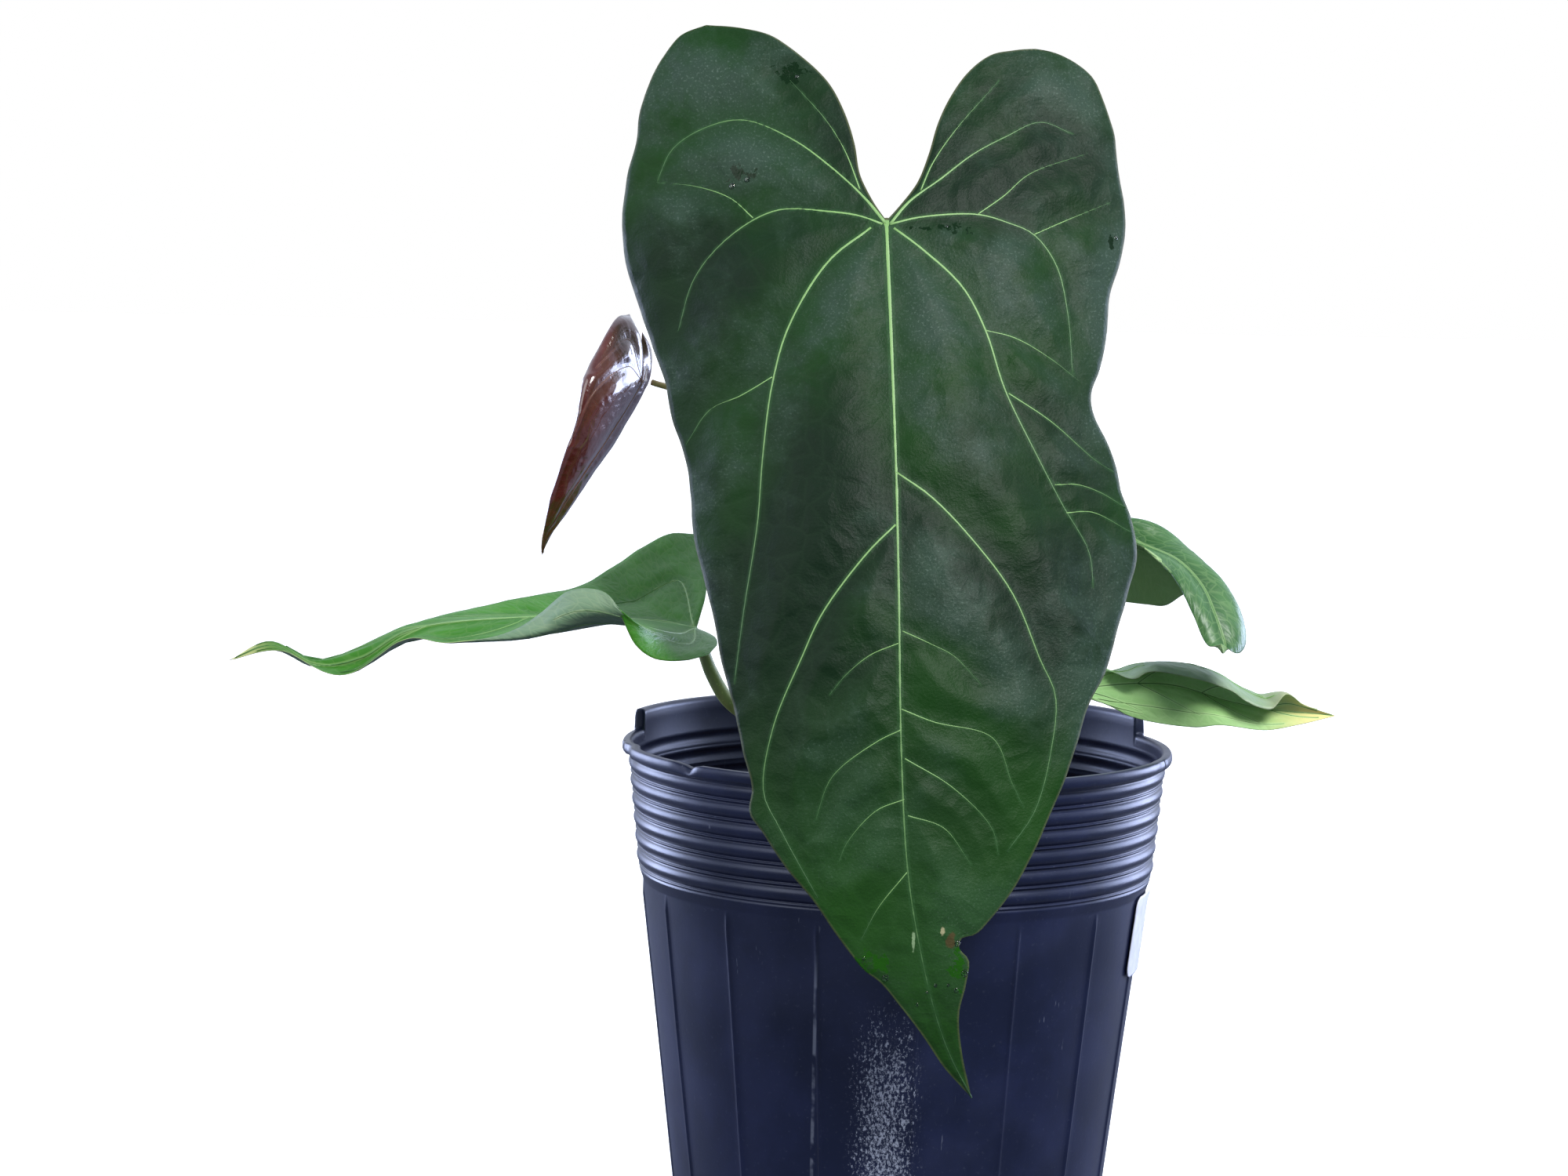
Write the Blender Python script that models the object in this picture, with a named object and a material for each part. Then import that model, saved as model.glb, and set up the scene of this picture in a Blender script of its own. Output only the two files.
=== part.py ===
"""A potted anthurium: five heart-shaped leaves on one short crown, growing in a ribbed nursery pot.

Metres, +Z up. The origin is the centre of the pot's underside, and the large leaf faces -Y.
Control points are millimetres in that same frame, unless a function says otherwise.
"""

import math

import bmesh
import bpy
import numpy as np
from mathutils import Matrix, Vector

MM = 0.001

# The pot, in millimetres.
POT_HEIGHT = 160.0
BACK_RIM_RISE = 5.5
BACK_RIM_FROM = 21.0
BACK_RIM_TO = 165.0
LIP_RADIUS = 75.0
LIP_DEPTH = 3.0
COLLAR_TOP_RADIUS = 73.1
COLLAR_FOOT_RADIUS = 69.6
COLLAR_FOOT_Z = 124.5
BODY_TOP_RADIUS = 69.0
BASE_RADIUS = 54.0
WALL = 0.9
FLOOR = 2.0
FOOT_CHAMFER = 1.2
RIDGE_COUNT = 6
RIDGE_TOP_Z = 153.5
RIDGE_PITCH = 5.1
RIDGE_HEIGHT = 0.5
RIB_COUNT = 16
RIB_HEIGHT = 0.5
RIB_HALF_ANGLE = 1.1
FIRST_RIB_ANGLE = -86.0
HOLE_COUNT = 6
HOLE_RADIUS = 5.5
HOLE_RING_RADIUS = 36.0

# The mix and what sits in and on it, in millimetres.
GAP = 0.3
MIX_TOP_Z = 130.0
CROWN_RADIUS = 10.0
CROWN_FOOT_Z = 108.0
CROWN_TOP_Z = 146.0

# The leaves, in millimetres.
MAIN_THICKNESS = 1.2
LEAF_THICKNESS = 0.8
LOBE_SECTIONS = 3
MIDRIB_SECTIONS = 11
MAIN_LOBE_SECTIONS = 7
MAIN_MIDRIB_SECTIONS = 16
MAIN_ATTACHMENT = (-6.7, -25.0, 301.5)


# Shared tools ---------------------------------------------------------------------------------


def clear_scene():
    """Empty the scene of everything a new file may hold."""
    for old in list(bpy.data.objects):
        bpy.data.objects.remove(old)


def plain_material(name, colour, roughness, metallic=0.0):
    """A Principled BSDF with one colour, roughness and metallic value."""
    material = bpy.data.materials.new(name)
    material.use_nodes = True
    shader = material.node_tree.nodes["Principled BSDF"]
    shader.inputs["Base Color"].default_value = (*colour, 1.0)
    shader.inputs["Roughness"].default_value = roughness
    shader.inputs["Metallic"].default_value = metallic
    return material


def add_object(name, mesh, material):
    """Link a mesh to the scene as a named, smooth-shaded object with its material."""
    piece = bpy.data.objects.new(name, mesh)
    bpy.context.scene.collection.objects.link(piece)
    mesh.materials.append(material)
    mesh.shade_smooth()
    mesh.set_sharp_from_angle(angle=math.radians(40))
    return piece


def mesh_from(name, points, faces):
    """A mesh from points in millimetres."""
    mesh = bpy.data.meshes.new(name)
    mesh.from_pydata((np.asarray(points) * MM).tolist(), [], faces)
    mesh.validate()
    return mesh


def smooth_through(knots, values, places):
    """The cubic Hermite curve through values at rising knots, read at the given places."""
    knots = np.asarray(knots, float)
    values = np.asarray(values, float)
    slopes = np.gradient(values, knots, axis=0)
    span = np.clip(np.searchsorted(knots, places, side="right") - 1, 0, len(knots) - 2)
    width = knots[span + 1] - knots[span]
    along = (places - knots[span]) / width
    if values.ndim > 1:
        width = width[:, None]
        along = along[:, None]
    start = (2 * along**3 - 3 * along**2 + 1) * values[span]
    end = (3 * along**2 - 2 * along**3) * values[span + 1]
    start_slope = (along**3 - 2 * along**2 + along) * width * slopes[span]
    end_slope = (along**3 - along**2) * width * slopes[span + 1]
    return start + end + start_slope + end_slope


def rail(points, count):
    """Evenly spaced points along the smooth curve through the given ones."""
    points = np.asarray(points, float)
    steps = np.linalg.norm(np.diff(points, axis=0), axis=1)
    knots = np.concatenate([[0.0], np.cumsum(np.sqrt(steps))])
    fine = smooth_through(knots, points, np.linspace(0.0, knots[-1], 300))
    lengths = np.concatenate([[0.0], np.cumsum(np.linalg.norm(np.diff(fine, axis=0), axis=1))])
    places = np.linspace(0.0, lengths[-1], count)
    return np.stack([np.interp(places, lengths, axis) for axis in fine.T], axis=1)


# The pot --------------------------------------------------------------------------------------


def collar_radius(z):
    """Outer radius of the collar's plain wall at a height."""
    share = (z - COLLAR_FOOT_Z) / (POT_HEIGHT - COLLAR_FOOT_Z)
    return COLLAR_FOOT_RADIUS + share * (COLLAR_TOP_RADIUS - COLLAR_FOOT_RADIUS)


def body_radius(z):
    """Outer radius of the tapered body at a height."""
    return BASE_RADIUS + (BODY_TOP_RADIUS - BASE_RADIUS) * z / COLLAR_FOOT_Z


def outer_profile():
    """The outside of the wall as (radius, z, carries ribs), from the underside up to the lip."""
    rows = [(BASE_RADIUS - FOOT_CHAMFER, 0.0, False)]
    rows.append((body_radius(FOOT_CHAMFER), FOOT_CHAMFER, False))
    rows.append((body_radius(4.0), 4.0, True))
    rows.append((body_radius(60.0), 60.0, True))
    rows.append((body_radius(COLLAR_FOOT_Z - 2.0), COLLAR_FOOT_Z - 2.0, True))
    rows.append((COLLAR_FOOT_RADIUS, COLLAR_FOOT_Z - 0.5, False))
    for ridge in reversed(range(RIDGE_COUNT)):
        crest = RIDGE_TOP_Z - ridge * RIDGE_PITCH
        groove = crest - 0.5 * RIDGE_PITCH
        rows.append((collar_radius(groove) - 0.5 * RIDGE_HEIGHT, groove, False))
        rows.append((collar_radius(crest) + 0.5 * RIDGE_HEIGHT, crest, False))
    lip_foot = POT_HEIGHT - LIP_DEPTH
    rows.append((collar_radius(lip_foot), lip_foot, False))
    rows.append((LIP_RADIUS, lip_foot + 0.4, False))
    rows.append((LIP_RADIUS, POT_HEIGHT, False))
    return rows


def inner_radius(z):
    """Inside radius of the wall at a height, a wall's thickness in from the body's taper."""
    return body_radius(z) - WALL - 0.3


def pot_angles():
    """Degrees round the pot, with three columns on each rib and a pair at each step of the rim."""
    angles = []
    for rib in range(RIB_COUNT):
        middle = FIRST_RIB_ANGLE + rib * 360.0 / RIB_COUNT
        for shift, raised in ((-RIB_HALF_ANGLE, 0), (0.0, 1), (RIB_HALF_ANGLE, 0), (11.25, 0)):
            angles.append(((middle + shift) % 360.0, raised))
    for step in (BACK_RIM_FROM, BACK_RIM_TO):
        angles.append((step - 0.4, 0))
        angles.append((step + 0.4, 0))
    return sorted(angles)


def build_pot_shell():
    """The thin wall, lip and floor as one turned shell, with drainage holes cut through the floor."""
    columns = pot_angles()
    degrees = np.array([angle for angle, _ in columns])
    on_rib = np.array([raised for _, raised in columns])
    turn = np.radians(degrees)
    around = np.stack([np.cos(turn), np.sin(turn)], axis=1)
    back = (degrees > BACK_RIM_FROM) & (degrees < BACK_RIM_TO)
    rise = np.where(back, BACK_RIM_RISE, 0.0)
    rows = [(radius, z, ribs, z >= POT_HEIGHT) for radius, z, ribs in outer_profile()]
    rows.append((LIP_RADIUS - WALL - 0.6, POT_HEIGHT, False, True))
    for z in (POT_HEIGHT - LIP_DEPTH - 1.0, COLLAR_FOOT_Z, 60.0, FLOOR):
        radius = min(inner_radius(z), collar_radius(z) - RIDGE_HEIGHT - WALL)
        rows.append((radius, z, False, False))
    points = []
    for radius, z, ribs, at_rim in rows:
        ring = (radius + (RIB_HEIGHT * on_rib if ribs else 0.0 * on_rib))[:, None] * around
        height = z + (rise if at_rim else 0.0 * rise)
        points.append(np.column_stack([ring, height]))
    count = len(columns)
    faces = []
    for row in range(len(rows) - 1):
        for here in range(count):
            after = (here + 1) % count
            faces.append((row * count + here, row * count + after,
                          (row + 1) * count + after, (row + 1) * count + here))
    faces.append(tuple(reversed(range(count))))
    faces.append(tuple(range((len(rows) - 1) * count, len(rows) * count)))
    mesh = mesh_from("pot_shell", np.concatenate(points), faces)
    pot = add_object("pot_shell", mesh, plain_material("pot_plastic", (0.02, 0.023, 0.04), 0.45))
    for hole in range(HOLE_COUNT):
        turn = 2.0 * math.pi * (hole + 0.5) / HOLE_COUNT
        place = (HOLE_RING_RADIUS * math.cos(turn), HOLE_RING_RADIUS * math.sin(turn), 0.5 * FLOOR)
        cut(pot, add_cutter(f"hole_cutter_{hole + 1}", HOLE_RADIUS, 3.0 * FLOOR, place))
    return pot


def add_cutter(name, radius, depth, place):
    """A hidden cylinder to cut with, in millimetres."""
    mesh = bpy.data.meshes.new(name)
    shape = bmesh.new()
    bmesh.ops.create_cone(shape, cap_ends=True, segments=16, radius1=radius * MM,
                          radius2=radius * MM, depth=depth * MM)
    bmesh.ops.translate(shape, verts=shape.verts, vec=Vector(place) * MM)
    shape.to_mesh(mesh)
    shape.free()
    cutter = bpy.data.objects.new(name, mesh)
    bpy.context.scene.collection.objects.link(cutter)
    cutter.hide_render = True
    cutter.display_type = "WIRE"
    return cutter


def cut(piece, cutter):
    """Take a cutter's shape out of a piece."""
    step = piece.modifiers.new(cutter.name, "BOOLEAN")
    step.operation = "DIFFERENCE"
    step.solver = "EXACT"
    step.object = cutter


def build_pot_label():
    """A small blank sticker, bent round the wall just under the collar."""
    middle = math.radians(-14.5)
    half_width = 9.5
    half_height = 11.0
    centre_z = 112.0
    corner = 3.0
    outline = []
    for side_x, side_z, first in ((1, 1, 0), (-1, 1, 90), (-1, -1, 180), (1, -1, 270)):
        for turn in np.radians(first + np.array([0.0, 30.0, 60.0, 90.0])):
            outline.append((side_x * (half_width - corner) + corner * math.cos(turn),
                            side_z * (half_height - corner) + corner * math.sin(turn)))
    points = []
    for lift in (RIB_HEIGHT + GAP, RIB_HEIGHT + GAP + 0.4):
        for across, up in outline:
            radius = body_radius(centre_z + up) + lift
            angle = middle + across / radius
            points.append((radius * math.cos(angle), radius * math.sin(angle), centre_z + up))
    count = len(outline)
    mesh = bpy.data.meshes.new("pot_label")
    shape = bmesh.new()
    verts = [shape.verts.new(Vector(point) * MM) for point in points]
    for here in range(count // 2 - 1):
        mirror = count - 1 - here
        low = (here, here + 1, mirror - 1, mirror)
        shape.faces.new([verts[index] for index in low])
        shape.faces.new([verts[index + count] for index in reversed(low)])
    for here in range(count):
        after = (here + 1) % count
        shape.faces.new([verts[index] for index in (here, here + count, after + count, after)])
    bmesh.ops.recalc_face_normals(shape, faces=shape.faces)
    shape.to_mesh(mesh)
    shape.free()
    return add_object("pot_label", mesh, plain_material("label_paper", (0.85, 0.86, 0.9), 0.5))


def build_potting_mix():
    """The coarse mix as one solid that fills the pot, with a pocket for the crown."""
    mesh = bpy.data.meshes.new("potting_mix")
    shape = bmesh.new()
    foot = FLOOR + GAP
    segments = 32
    clearance = 0.6
    bmesh.ops.create_cone(shape, cap_ends=True, segments=segments,
                          radius1=(inner_radius(foot) - clearance) * MM,
                          radius2=(inner_radius(MIX_TOP_Z) - clearance) * MM,
                          depth=(MIX_TOP_Z - foot) * MM)
    bmesh.ops.translate(shape, verts=shape.verts, vec=(0, 0, 0.5 * (MIX_TOP_Z + foot) * MM))
    shape.to_mesh(mesh)
    shape.free()
    mix = add_object("potting_mix", mesh, plain_material("bark_mix", (0.09, 0.055, 0.035), 0.95))
    pocket_foot = CROWN_FOOT_Z - GAP
    depth = MIX_TOP_Z - pocket_foot + 4.0
    cut(mix, add_cutter("crown_pocket_cutter", CROWN_RADIUS + 0.6, depth,
                        (0.0, 0.0, pocket_foot + 0.5 * depth)))
    return mix


# The crown and what grows from it -------------------------------------------------------------


def build_stem_crown():
    """The short thick stem, its lower half in the mix, with rings where old leaves fell."""
    rings = [(CROWN_FOOT_Z, 0.75), (CROWN_FOOT_Z + 3.0, 1.0), (MIX_TOP_Z, 1.0), (134.0, 0.94),
             (136.0, 1.0), (140.0, 0.93), (142.0, 1.0), (CROWN_TOP_Z - 0.8, 0.98),
             (CROWN_TOP_Z, 0.92)]
    sides = 16
    turn = np.linspace(0.0, 2.0 * math.pi, sides, endpoint=False)
    points = []
    for z, share in rings:
        radius = share * CROWN_RADIUS
        points.append(np.column_stack([radius * np.cos(turn), radius * np.sin(turn),
                                       np.full(sides, z)]))
    mesh = mesh_from("stem_crown", np.concatenate(points), tube_faces(len(rings), sides))
    return add_object("stem_crown", mesh, plain_material("old_stem", (0.16, 0.14, 0.07), 0.8))


def tube_faces(ring_count, sides):
    """Faces of a closed tube whose rings run anticlockwise about its direction."""
    faces = []
    for row in range(ring_count - 1):
        for here in range(sides):
            after = (here + 1) % sides
            faces.append((row * sides + here, row * sides + after,
                          (row + 1) * sides + after, (row + 1) * sides + here))
    faces.append(tuple(reversed(range(sides))))
    faces.append(tuple(range((ring_count - 1) * sides, ring_count * sides)))
    return faces


def build_tube(name, route, radii, material, rings=14, sides=8):
    """A round stalk along the smooth route, its radius running through the given radii."""
    centres = rail(route, rings)
    ahead = np.gradient(centres, axis=0)
    ahead /= np.linalg.norm(ahead, axis=1)[:, None]
    radius = smooth_through(np.linspace(0, 1, len(radii)), radii, np.linspace(0, 1, rings))
    side = np.cross(ahead[0], (0.31, 0.95, 0.02))
    points = []
    for centre, forward, size in zip(centres, ahead, radius):
        side = side - forward * np.dot(side, forward)
        side /= np.linalg.norm(side)
        other = np.cross(forward, side)
        turn = np.linspace(0.0, 2.0 * math.pi, sides, endpoint=False)[:, None]
        points.append(centre + size * (np.cos(turn) * side + np.sin(turn) * other))
    mesh = mesh_from(name, np.concatenate(points), tube_faces(rings, sides))
    return add_object(name, mesh, material)


def build_petioles():
    """One leaf stalk from the crown to each blade, swollen at the joint under the blade."""
    green = plain_material("petiole_green", (0.2, 0.24, 0.09), 0.5)
    red = plain_material("petiole_red", (0.35, 0.2, 0.12), 0.45)
    build_tube("petiole_main", [(2.5, 3.5, 147), (2.8, 4, 151), (6, 12, 175), (8, 20, 215), (6, 20, 255),
                                (0, 8, 284), (-5.5, -13, 295.5), (-6.7, -23.7, 300.6)],
               (2.8, 2.5, 2.2, 2.0, 2.4, 2.0), green, rings=18)
    build_tube("petiole_left", [(-5.5, -2, 147), (-6.5, -2, 151), (-21, -3, 161), (-36, -4.5, 165),
                                (-45, -5, 170), (-50.7, -5, 178.5), (-54.6, -5, 189.2)],
               (1.9, 1.8, 1.8, 1.7, 1.9, 1.4), green)
    build_tube("petiole_young", [(-4.5, 4.5, 147), (-5, 5, 151), (-12, 14, 175), (-24, 20, 210),
                                 (-42, 20, 238), (-58, 11, 253), (-68.6, 5.8, 256.8)],
               (1.4, 1.2, 1.1, 1.0, 1.1, 0.8), red)
    build_tube("petiole_right_upper", [(1.5, -6, 147), (2, -6, 151), (12, -4, 173), (23, 2, 196),
                                       (34, 6, 212), (43.2, 4.8, 221.4)],
               (1.7, 1.6, 1.6, 1.8, 1.2), green)
    build_tube("petiole_right_lower", [(7, -1, 147), (7.8, 0, 151), (13, 4, 156.5), (23, 10, 161.5),
                                       (32, 14, 165), (35.4, 13.4, 170.4)],
               (1.7, 1.6, 1.6, 1.8, 1.2), green)


def build_cataphylls():
    """Dry papery scales that once wrapped each new leaf, standing round the crown."""
    paper = plain_material("dry_scale", (0.42, 0.3, 0.16), 0.85)
    for index, (azimuth, height) in enumerate(((92.0, 20.0), (235.0, 18.0), (302.0, 20.0))):
        name = f"cataphyll_{index + 1}"
        up = np.linspace(0.0, 1.0, 6)
        half_angle = 24.0 * (1.0 - up**1.6) + 1.5
        rows = []
        for share, half in zip(up, half_angle):
            turn = np.radians(azimuth + half * np.array([-1.0, 0.0, 1.0]))
            radius = CROWN_RADIUS + GAP + 0.3 + 3.0 * share**2
            rows.append(np.column_stack([radius * np.cos(turn), radius * np.sin(turn),
                                         np.full(3, 142.5 + height * share)]))
        mesh = mesh_from(name, np.concatenate(rows), sheet_faces(6, 3))
        piece = add_object(name, mesh, paper)
        thicken(piece, 0.5, 1.0)


def build_roots():
    """Thick pale roots that leave the crown above the mix and turn down into it."""
    skin = plain_material("root_skin", (0.4, 0.33, 0.2), 0.75)
    for index, (azimuth, reach) in enumerate(((18.0, 14.0), (150.0, 17.0), (256.0, 12.0))):
        out = np.array([math.cos(math.radians(azimuth)), math.sin(math.radians(azimuth)), 0.0])
        side = np.array([-out[1], out[0], 0.0])
        up = np.array([0.0, 0.0, 1.0])
        start = CROWN_RADIUS + GAP
        route = [out * start + up * 137.5, out * (start + 0.4 * reach) + side + up * 138.0,
                 out * (start + 0.8 * reach) + side * 2.5 + up * 136.0,
                 out * (start + reach) + side * 3.0 + up * (MIX_TOP_Z + 3.0),
                 out * (start + reach) + side * 3.0 + up * (MIX_TOP_Z + 0.5)]
        build_tube(f"aerial_root_{index + 1}", route, (1.9, 2.0, 1.8, 1.7), skin, rings=8)


def build_loose_pieces():
    """Bark chips and pumice grains lying on the mix, each a rough block of its own."""
    bark = plain_material("bark", (0.13, 0.075, 0.04), 0.9)
    stone = plain_material("pumice", (0.55, 0.52, 0.47), 0.9)
    rng = np.random.default_rng(11)
    spots = [("bark_chip", bark, 30, 40, (15, 9, 4)), ("bark_chip", bark, 75, 44, (12, 8, 4.5)),
             ("bark_chip", bark, 112, 36, (14, 10, 4)), ("bark_chip", bark, 165, 42, (13, 9, 5)),
             ("bark_chip", bark, 205, 38, (16, 8, 4)), ("bark_chip", bark, 268, 50, (12, 9, 4)),
             ("bark_chip", bark, 318, 41, (15, 10, 4.5)), ("bark_chip", bark, 350, 52, (11, 8, 4)),
             ("pumice_grain", stone, 52, 30, (6, 5, 4)), ("pumice_grain", stone, 95, 55, (7, 6, 5)),
             ("pumice_grain", stone, 188, 56, (6, 6, 4)), ("pumice_grain", stone, 290, 33, (6, 5, 4)),
             ("pumice_grain", stone, 335, 25, (5, 5, 4))]
    counts = {"bark_chip": 0, "pumice_grain": 0}
    for kind, material, azimuth, reach, size in spots:
        counts[kind] += 1
        name = f"{kind}_{counts[kind]}"
        shape = bmesh.new()
        bmesh.ops.create_icosphere(shape, subdivisions=1, radius=0.5 * MM)
        for vert in shape.verts:
            vert.co *= 1.0 + 0.22 * (rng.random() - 0.5)
            vert.co = Vector([value * full for value, full in zip(vert.co, size)])
        turned = Matrix.Rotation(rng.random() * math.tau, 3, "Z")
        bmesh.ops.rotate(shape, verts=shape.verts, cent=(0, 0, 0), matrix=turned)
        lowest = min(vert.co.z for vert in shape.verts)
        angle = math.radians(azimuth)
        place = Vector((reach * MM * math.cos(angle), reach * MM * math.sin(angle),
                        (MIX_TOP_Z + GAP) * MM - lowest))
        bmesh.ops.translate(shape, verts=shape.verts, vec=place)
        mesh = bpy.data.meshes.new(name)
        shape.to_mesh(mesh)
        shape.free()
        add_object(name, mesh, material)


# The blades -----------------------------------------------------------------------------------


def sheet_faces(rows, columns, start=0):
    """Quads of a grid of points laid out row by row."""
    faces = []
    for row in range(rows - 1):
        for column in range(columns - 1):
            corner = start + row * columns + column
            faces.append((corner, corner + 1, corner + columns + 1, corner + columns))
    return faces


def thicken(piece, thickness, offset=0.0):
    """Give a thin sheet its real thickness, in millimetres."""
    step = piece.modifiers.new("thickness", "SOLIDIFY")
    step.thickness = thickness * MM
    step.offset = offset
    step.use_even_offset = False


def half_blade(margin, sinus, midrib, bulges, lobe_sections, midrib_sections, across):
    """One side of a blade as a grid of sections, from its basal lobe to its tip.

    Each section is the parabola from the inner rail (the sinus edge, then the midrib) through the
    middle point, pushed out by the bulge, to the margin.
    """
    inner = np.concatenate([rail(sinus, lobe_sections + 1)[:-1], rail(midrib, midrib_sections + 1)])
    count = len(inner)
    outer = rail(list(margin) + [midrib[-1]], count)
    share = np.linspace(0.0, 1.0, count)
    places = [bulge[0] for bulge in bulges]
    pushes = smooth_through(places, [bulge[1:] for bulge in bulges], share)
    middle = 0.5 * (inner + outer) + pushes * np.sin(math.pi * share)[:, None] ** 0.5
    v = np.linspace(0.0, 1.0, across + 1)[None, :, None]
    grid = ((1 - v) * (1 - 2 * v) * inner[:, None] + 4 * v * (1 - v) * middle[:, None]
            + v * (2 * v - 1) * outer[:, None])
    return grid


def build_blade(name, halves, material, thickness, shape=None):
    """Weld two half grids along the midrib and give the sheet its thickness."""
    points = []
    faces = []
    for side, grid in zip((1, -1), halves):
        rows, columns = grid.shape[:2]
        flat = grid.reshape(-1, grid.shape[2])
        if shape:
            flat = shape(flat)
        quads = sheet_faces(rows, columns, sum(len(block) for block in points))
        faces += quads if side > 0 else [tuple(reversed(quad)) for quad in quads]
        points.append(flat)
    mesh = mesh_from(name, np.concatenate(points), faces)
    sheet = bmesh.new()
    sheet.from_mesh(mesh)
    bmesh.ops.remove_doubles(sheet, verts=sheet.verts, dist=0.02 * MM)
    bmesh.ops.recalc_face_normals(sheet, faces=sheet.faces)
    sheet.to_mesh(mesh)
    sheet.free()
    piece = add_object(name, mesh, material)
    thicken(piece, thickness)
    return piece


def main_depth(points):
    """Where the large blade's flat points (across, up) lie: it bows forward below its attachment."""
    across = points[:, 0]
    up = points[:, 1]
    heights = [-240.0, -190.0, -140.0, -70.0, 0.0, 60.0]
    middle = smooth_through(heights, [-74.0, -89.0, -86.0, -62.0, -25.0, 10.0], up)
    spans = [-240.0, -200.0, -120.0, -40.0, 20.0, 60.0]
    left = smooth_through(spans, [4.0, 16.0, 34.0, 26.0, 14.0, 10.0], up)
    right = smooth_through(spans, [4.0, 10.0, 18.0, 20.0, 14.0, 10.0], up)
    back = np.where(across < 0, left, right) * (across / 65.0) ** 2
    x, _, z = MAIN_ATTACHMENT
    return np.column_stack([x + across, middle + back, z + up])


def build_main_blade():
    """The large velvet blade, drawn flat as (across, up) from its attachment, then bowed."""
    left_margin = [(-49, 52), (-56, 49), (-61, 43), (-66, 31), (-68, 15), (-70, 0), (-68, -15),
                   (-61, -34), (-55, -52), (-50, -68), (-48, -81), (-44, -98), (-39, -118),
                   (-35, -133), (-32, -147), (-29, -154), (-16, -170), (-6, -183), (0, -189),
                   (10, -201), (18, -214)]
    left_sinus = [(-49, 52), (-38, 51), (-26, 46), (-16, 37), (-9, 22), (-6, 9), (0, 0)]
    right_margin = [(40, 47), (50, 44), (57, 37), (61, 25), (64, 5), (63, -8), (58, -31), (54, -44),
                    (56, -52), (62, -67), (66, -83), (61, -101), (54, -119), (48, -134),
                    (42, -150), (34, -166), (25, -177), (21, -181), (22, -186), (21, -198)]
    right_sinus = [(40, 47), (30, 46), (20, 38), (13, 25), (9, 12), (4, 4), (0, 0)]
    midrib = [(0, 0), (2, -28), (4, -94), (6, -142), (8, -165), (14, -197), (25, -221)]
    flat_bulge = [(0.0, 0.0, 0.0), (0.5, 0.0, 0.0), (1.0, 0.0, 0.0)]
    halves = [half_blade(margin, sinus, midrib, flat_bulge, MAIN_LOBE_SECTIONS,
                         MAIN_MIDRIB_SECTIONS, 5)
              for margin, sinus in ((left_margin, left_sinus), (right_margin, right_sinus))]
    velvet = plain_material("velvet_green", (0.03, 0.07, 0.035), 0.7)
    build_blade("leaf_blade_main", halves, velvet, MAIN_THICKNESS, main_depth)


def small_halves(midrib, sides, across=3):
    """The two half grids of a small blade from each side's (margin, sinus, bulges)."""
    return [half_blade(margin, sinus, midrib, bulges, LOBE_SECTIONS, MIDRIB_SECTIONS, across)
            for margin, sinus, bulges in sides]


def build_left_blade():
    """The low blade that reaches out to -X, its near edge folded up halfway along."""
    midrib = [(-55, -5, 191), (-73, -14, 194), (-99, -24, 195), (-130, -35, 192), (-142, -39, 185),
              (-154, -41, 183), (-165, -41, 188), (-176, -41, 184)]
    back = ([(-57, 38, 213), (-64, 38, 213), (-72, 34, 209), (-88, 14, 200), (-105, -8, 198),
             (-128, -22, 193), (-143, -32, 187), (-154, -38, 184), (-166, -39, 189)],
            [(-57, 38, 213), (-54, 26, 207), (-53, 8, 199), (-55, -5, 191)],
            [(0.0, 0, 0, -1), (0.3, 0, 1, -4), (0.7, 0, 0, 1), (1.0, 0, 0, 0)])
    front = ([(-51, -34, 187), (-57, -40, 186), (-65, -45, 187), (-70, -48, 191), (-76, -49, 203),
              (-81, -45, 205), (-88, -42, 204), (-95, -41, 198), (-103, -42, 193),
              (-119, -44, 190), (-129, -46, 191), (-146, -45, 181), (-163, -43, 187)],
             [(-51, -34, 187), (-49, -24, 189), (-51, -12, 190), (-55, -5, 191)],
             [(0.0, 0, 0, 0), (0.15, 0, -4, -1), (0.28, 0, -18, -3), (0.42, 0, -14, -3),
              (0.55, 0, -3, -2), (1.0, 0, 0, 0)])
    green = plain_material("fresh_green", (0.035, 0.12, 0.025), 0.35)
    build_blade("leaf_blade_left", small_halves(midrib, (back, front)), green, LEAF_THICKNESS)


def build_young_blade():
    """The newest blade, still red and glossy, hanging folded along its midrib."""
    midrib = [(-71, 5, 257), (-78, 0, 245), (-90, -7, 226), (-94, -8, 219), (-96, -8, 216),
              (-97, -5, 210)]
    near = ([(-75, 8, 275), (-78, 2, 274), (-81, -4, 269), (-86, -12, 258), (-88, -15, 247),
             (-94, -13, 227), (-97, -8, 213)],
            [(-75, 8, 275), (-72, 4, 269), (-71, 4, 263), (-71, 5, 257)],
            [(0.0, 0, 0, 0), (0.3, -1, -8, 1), (0.6, -1, -5, 1), (1.0, 0, 0, 0)])
    far = ([(-72, 12, 270), (-69, 14, 265), (-70, 16, 258), (-79, 16, 243), (-89, 8, 227),
            (-96, -5, 213)],
           [(-72, 12, 270), (-72, 10, 265), (-71, 7, 260), (-71, 5, 257)],
           [(0.0, 0, 0, 0), (0.4, 1, 1, 0), (1.0, 0, 0, 0)])
    red = plain_material("young_red", (0.11, 0.035, 0.03), 0.2)
    build_blade("leaf_blade_young", small_halves(midrib, (near, far)), red, LEAF_THICKNESS)


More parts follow.
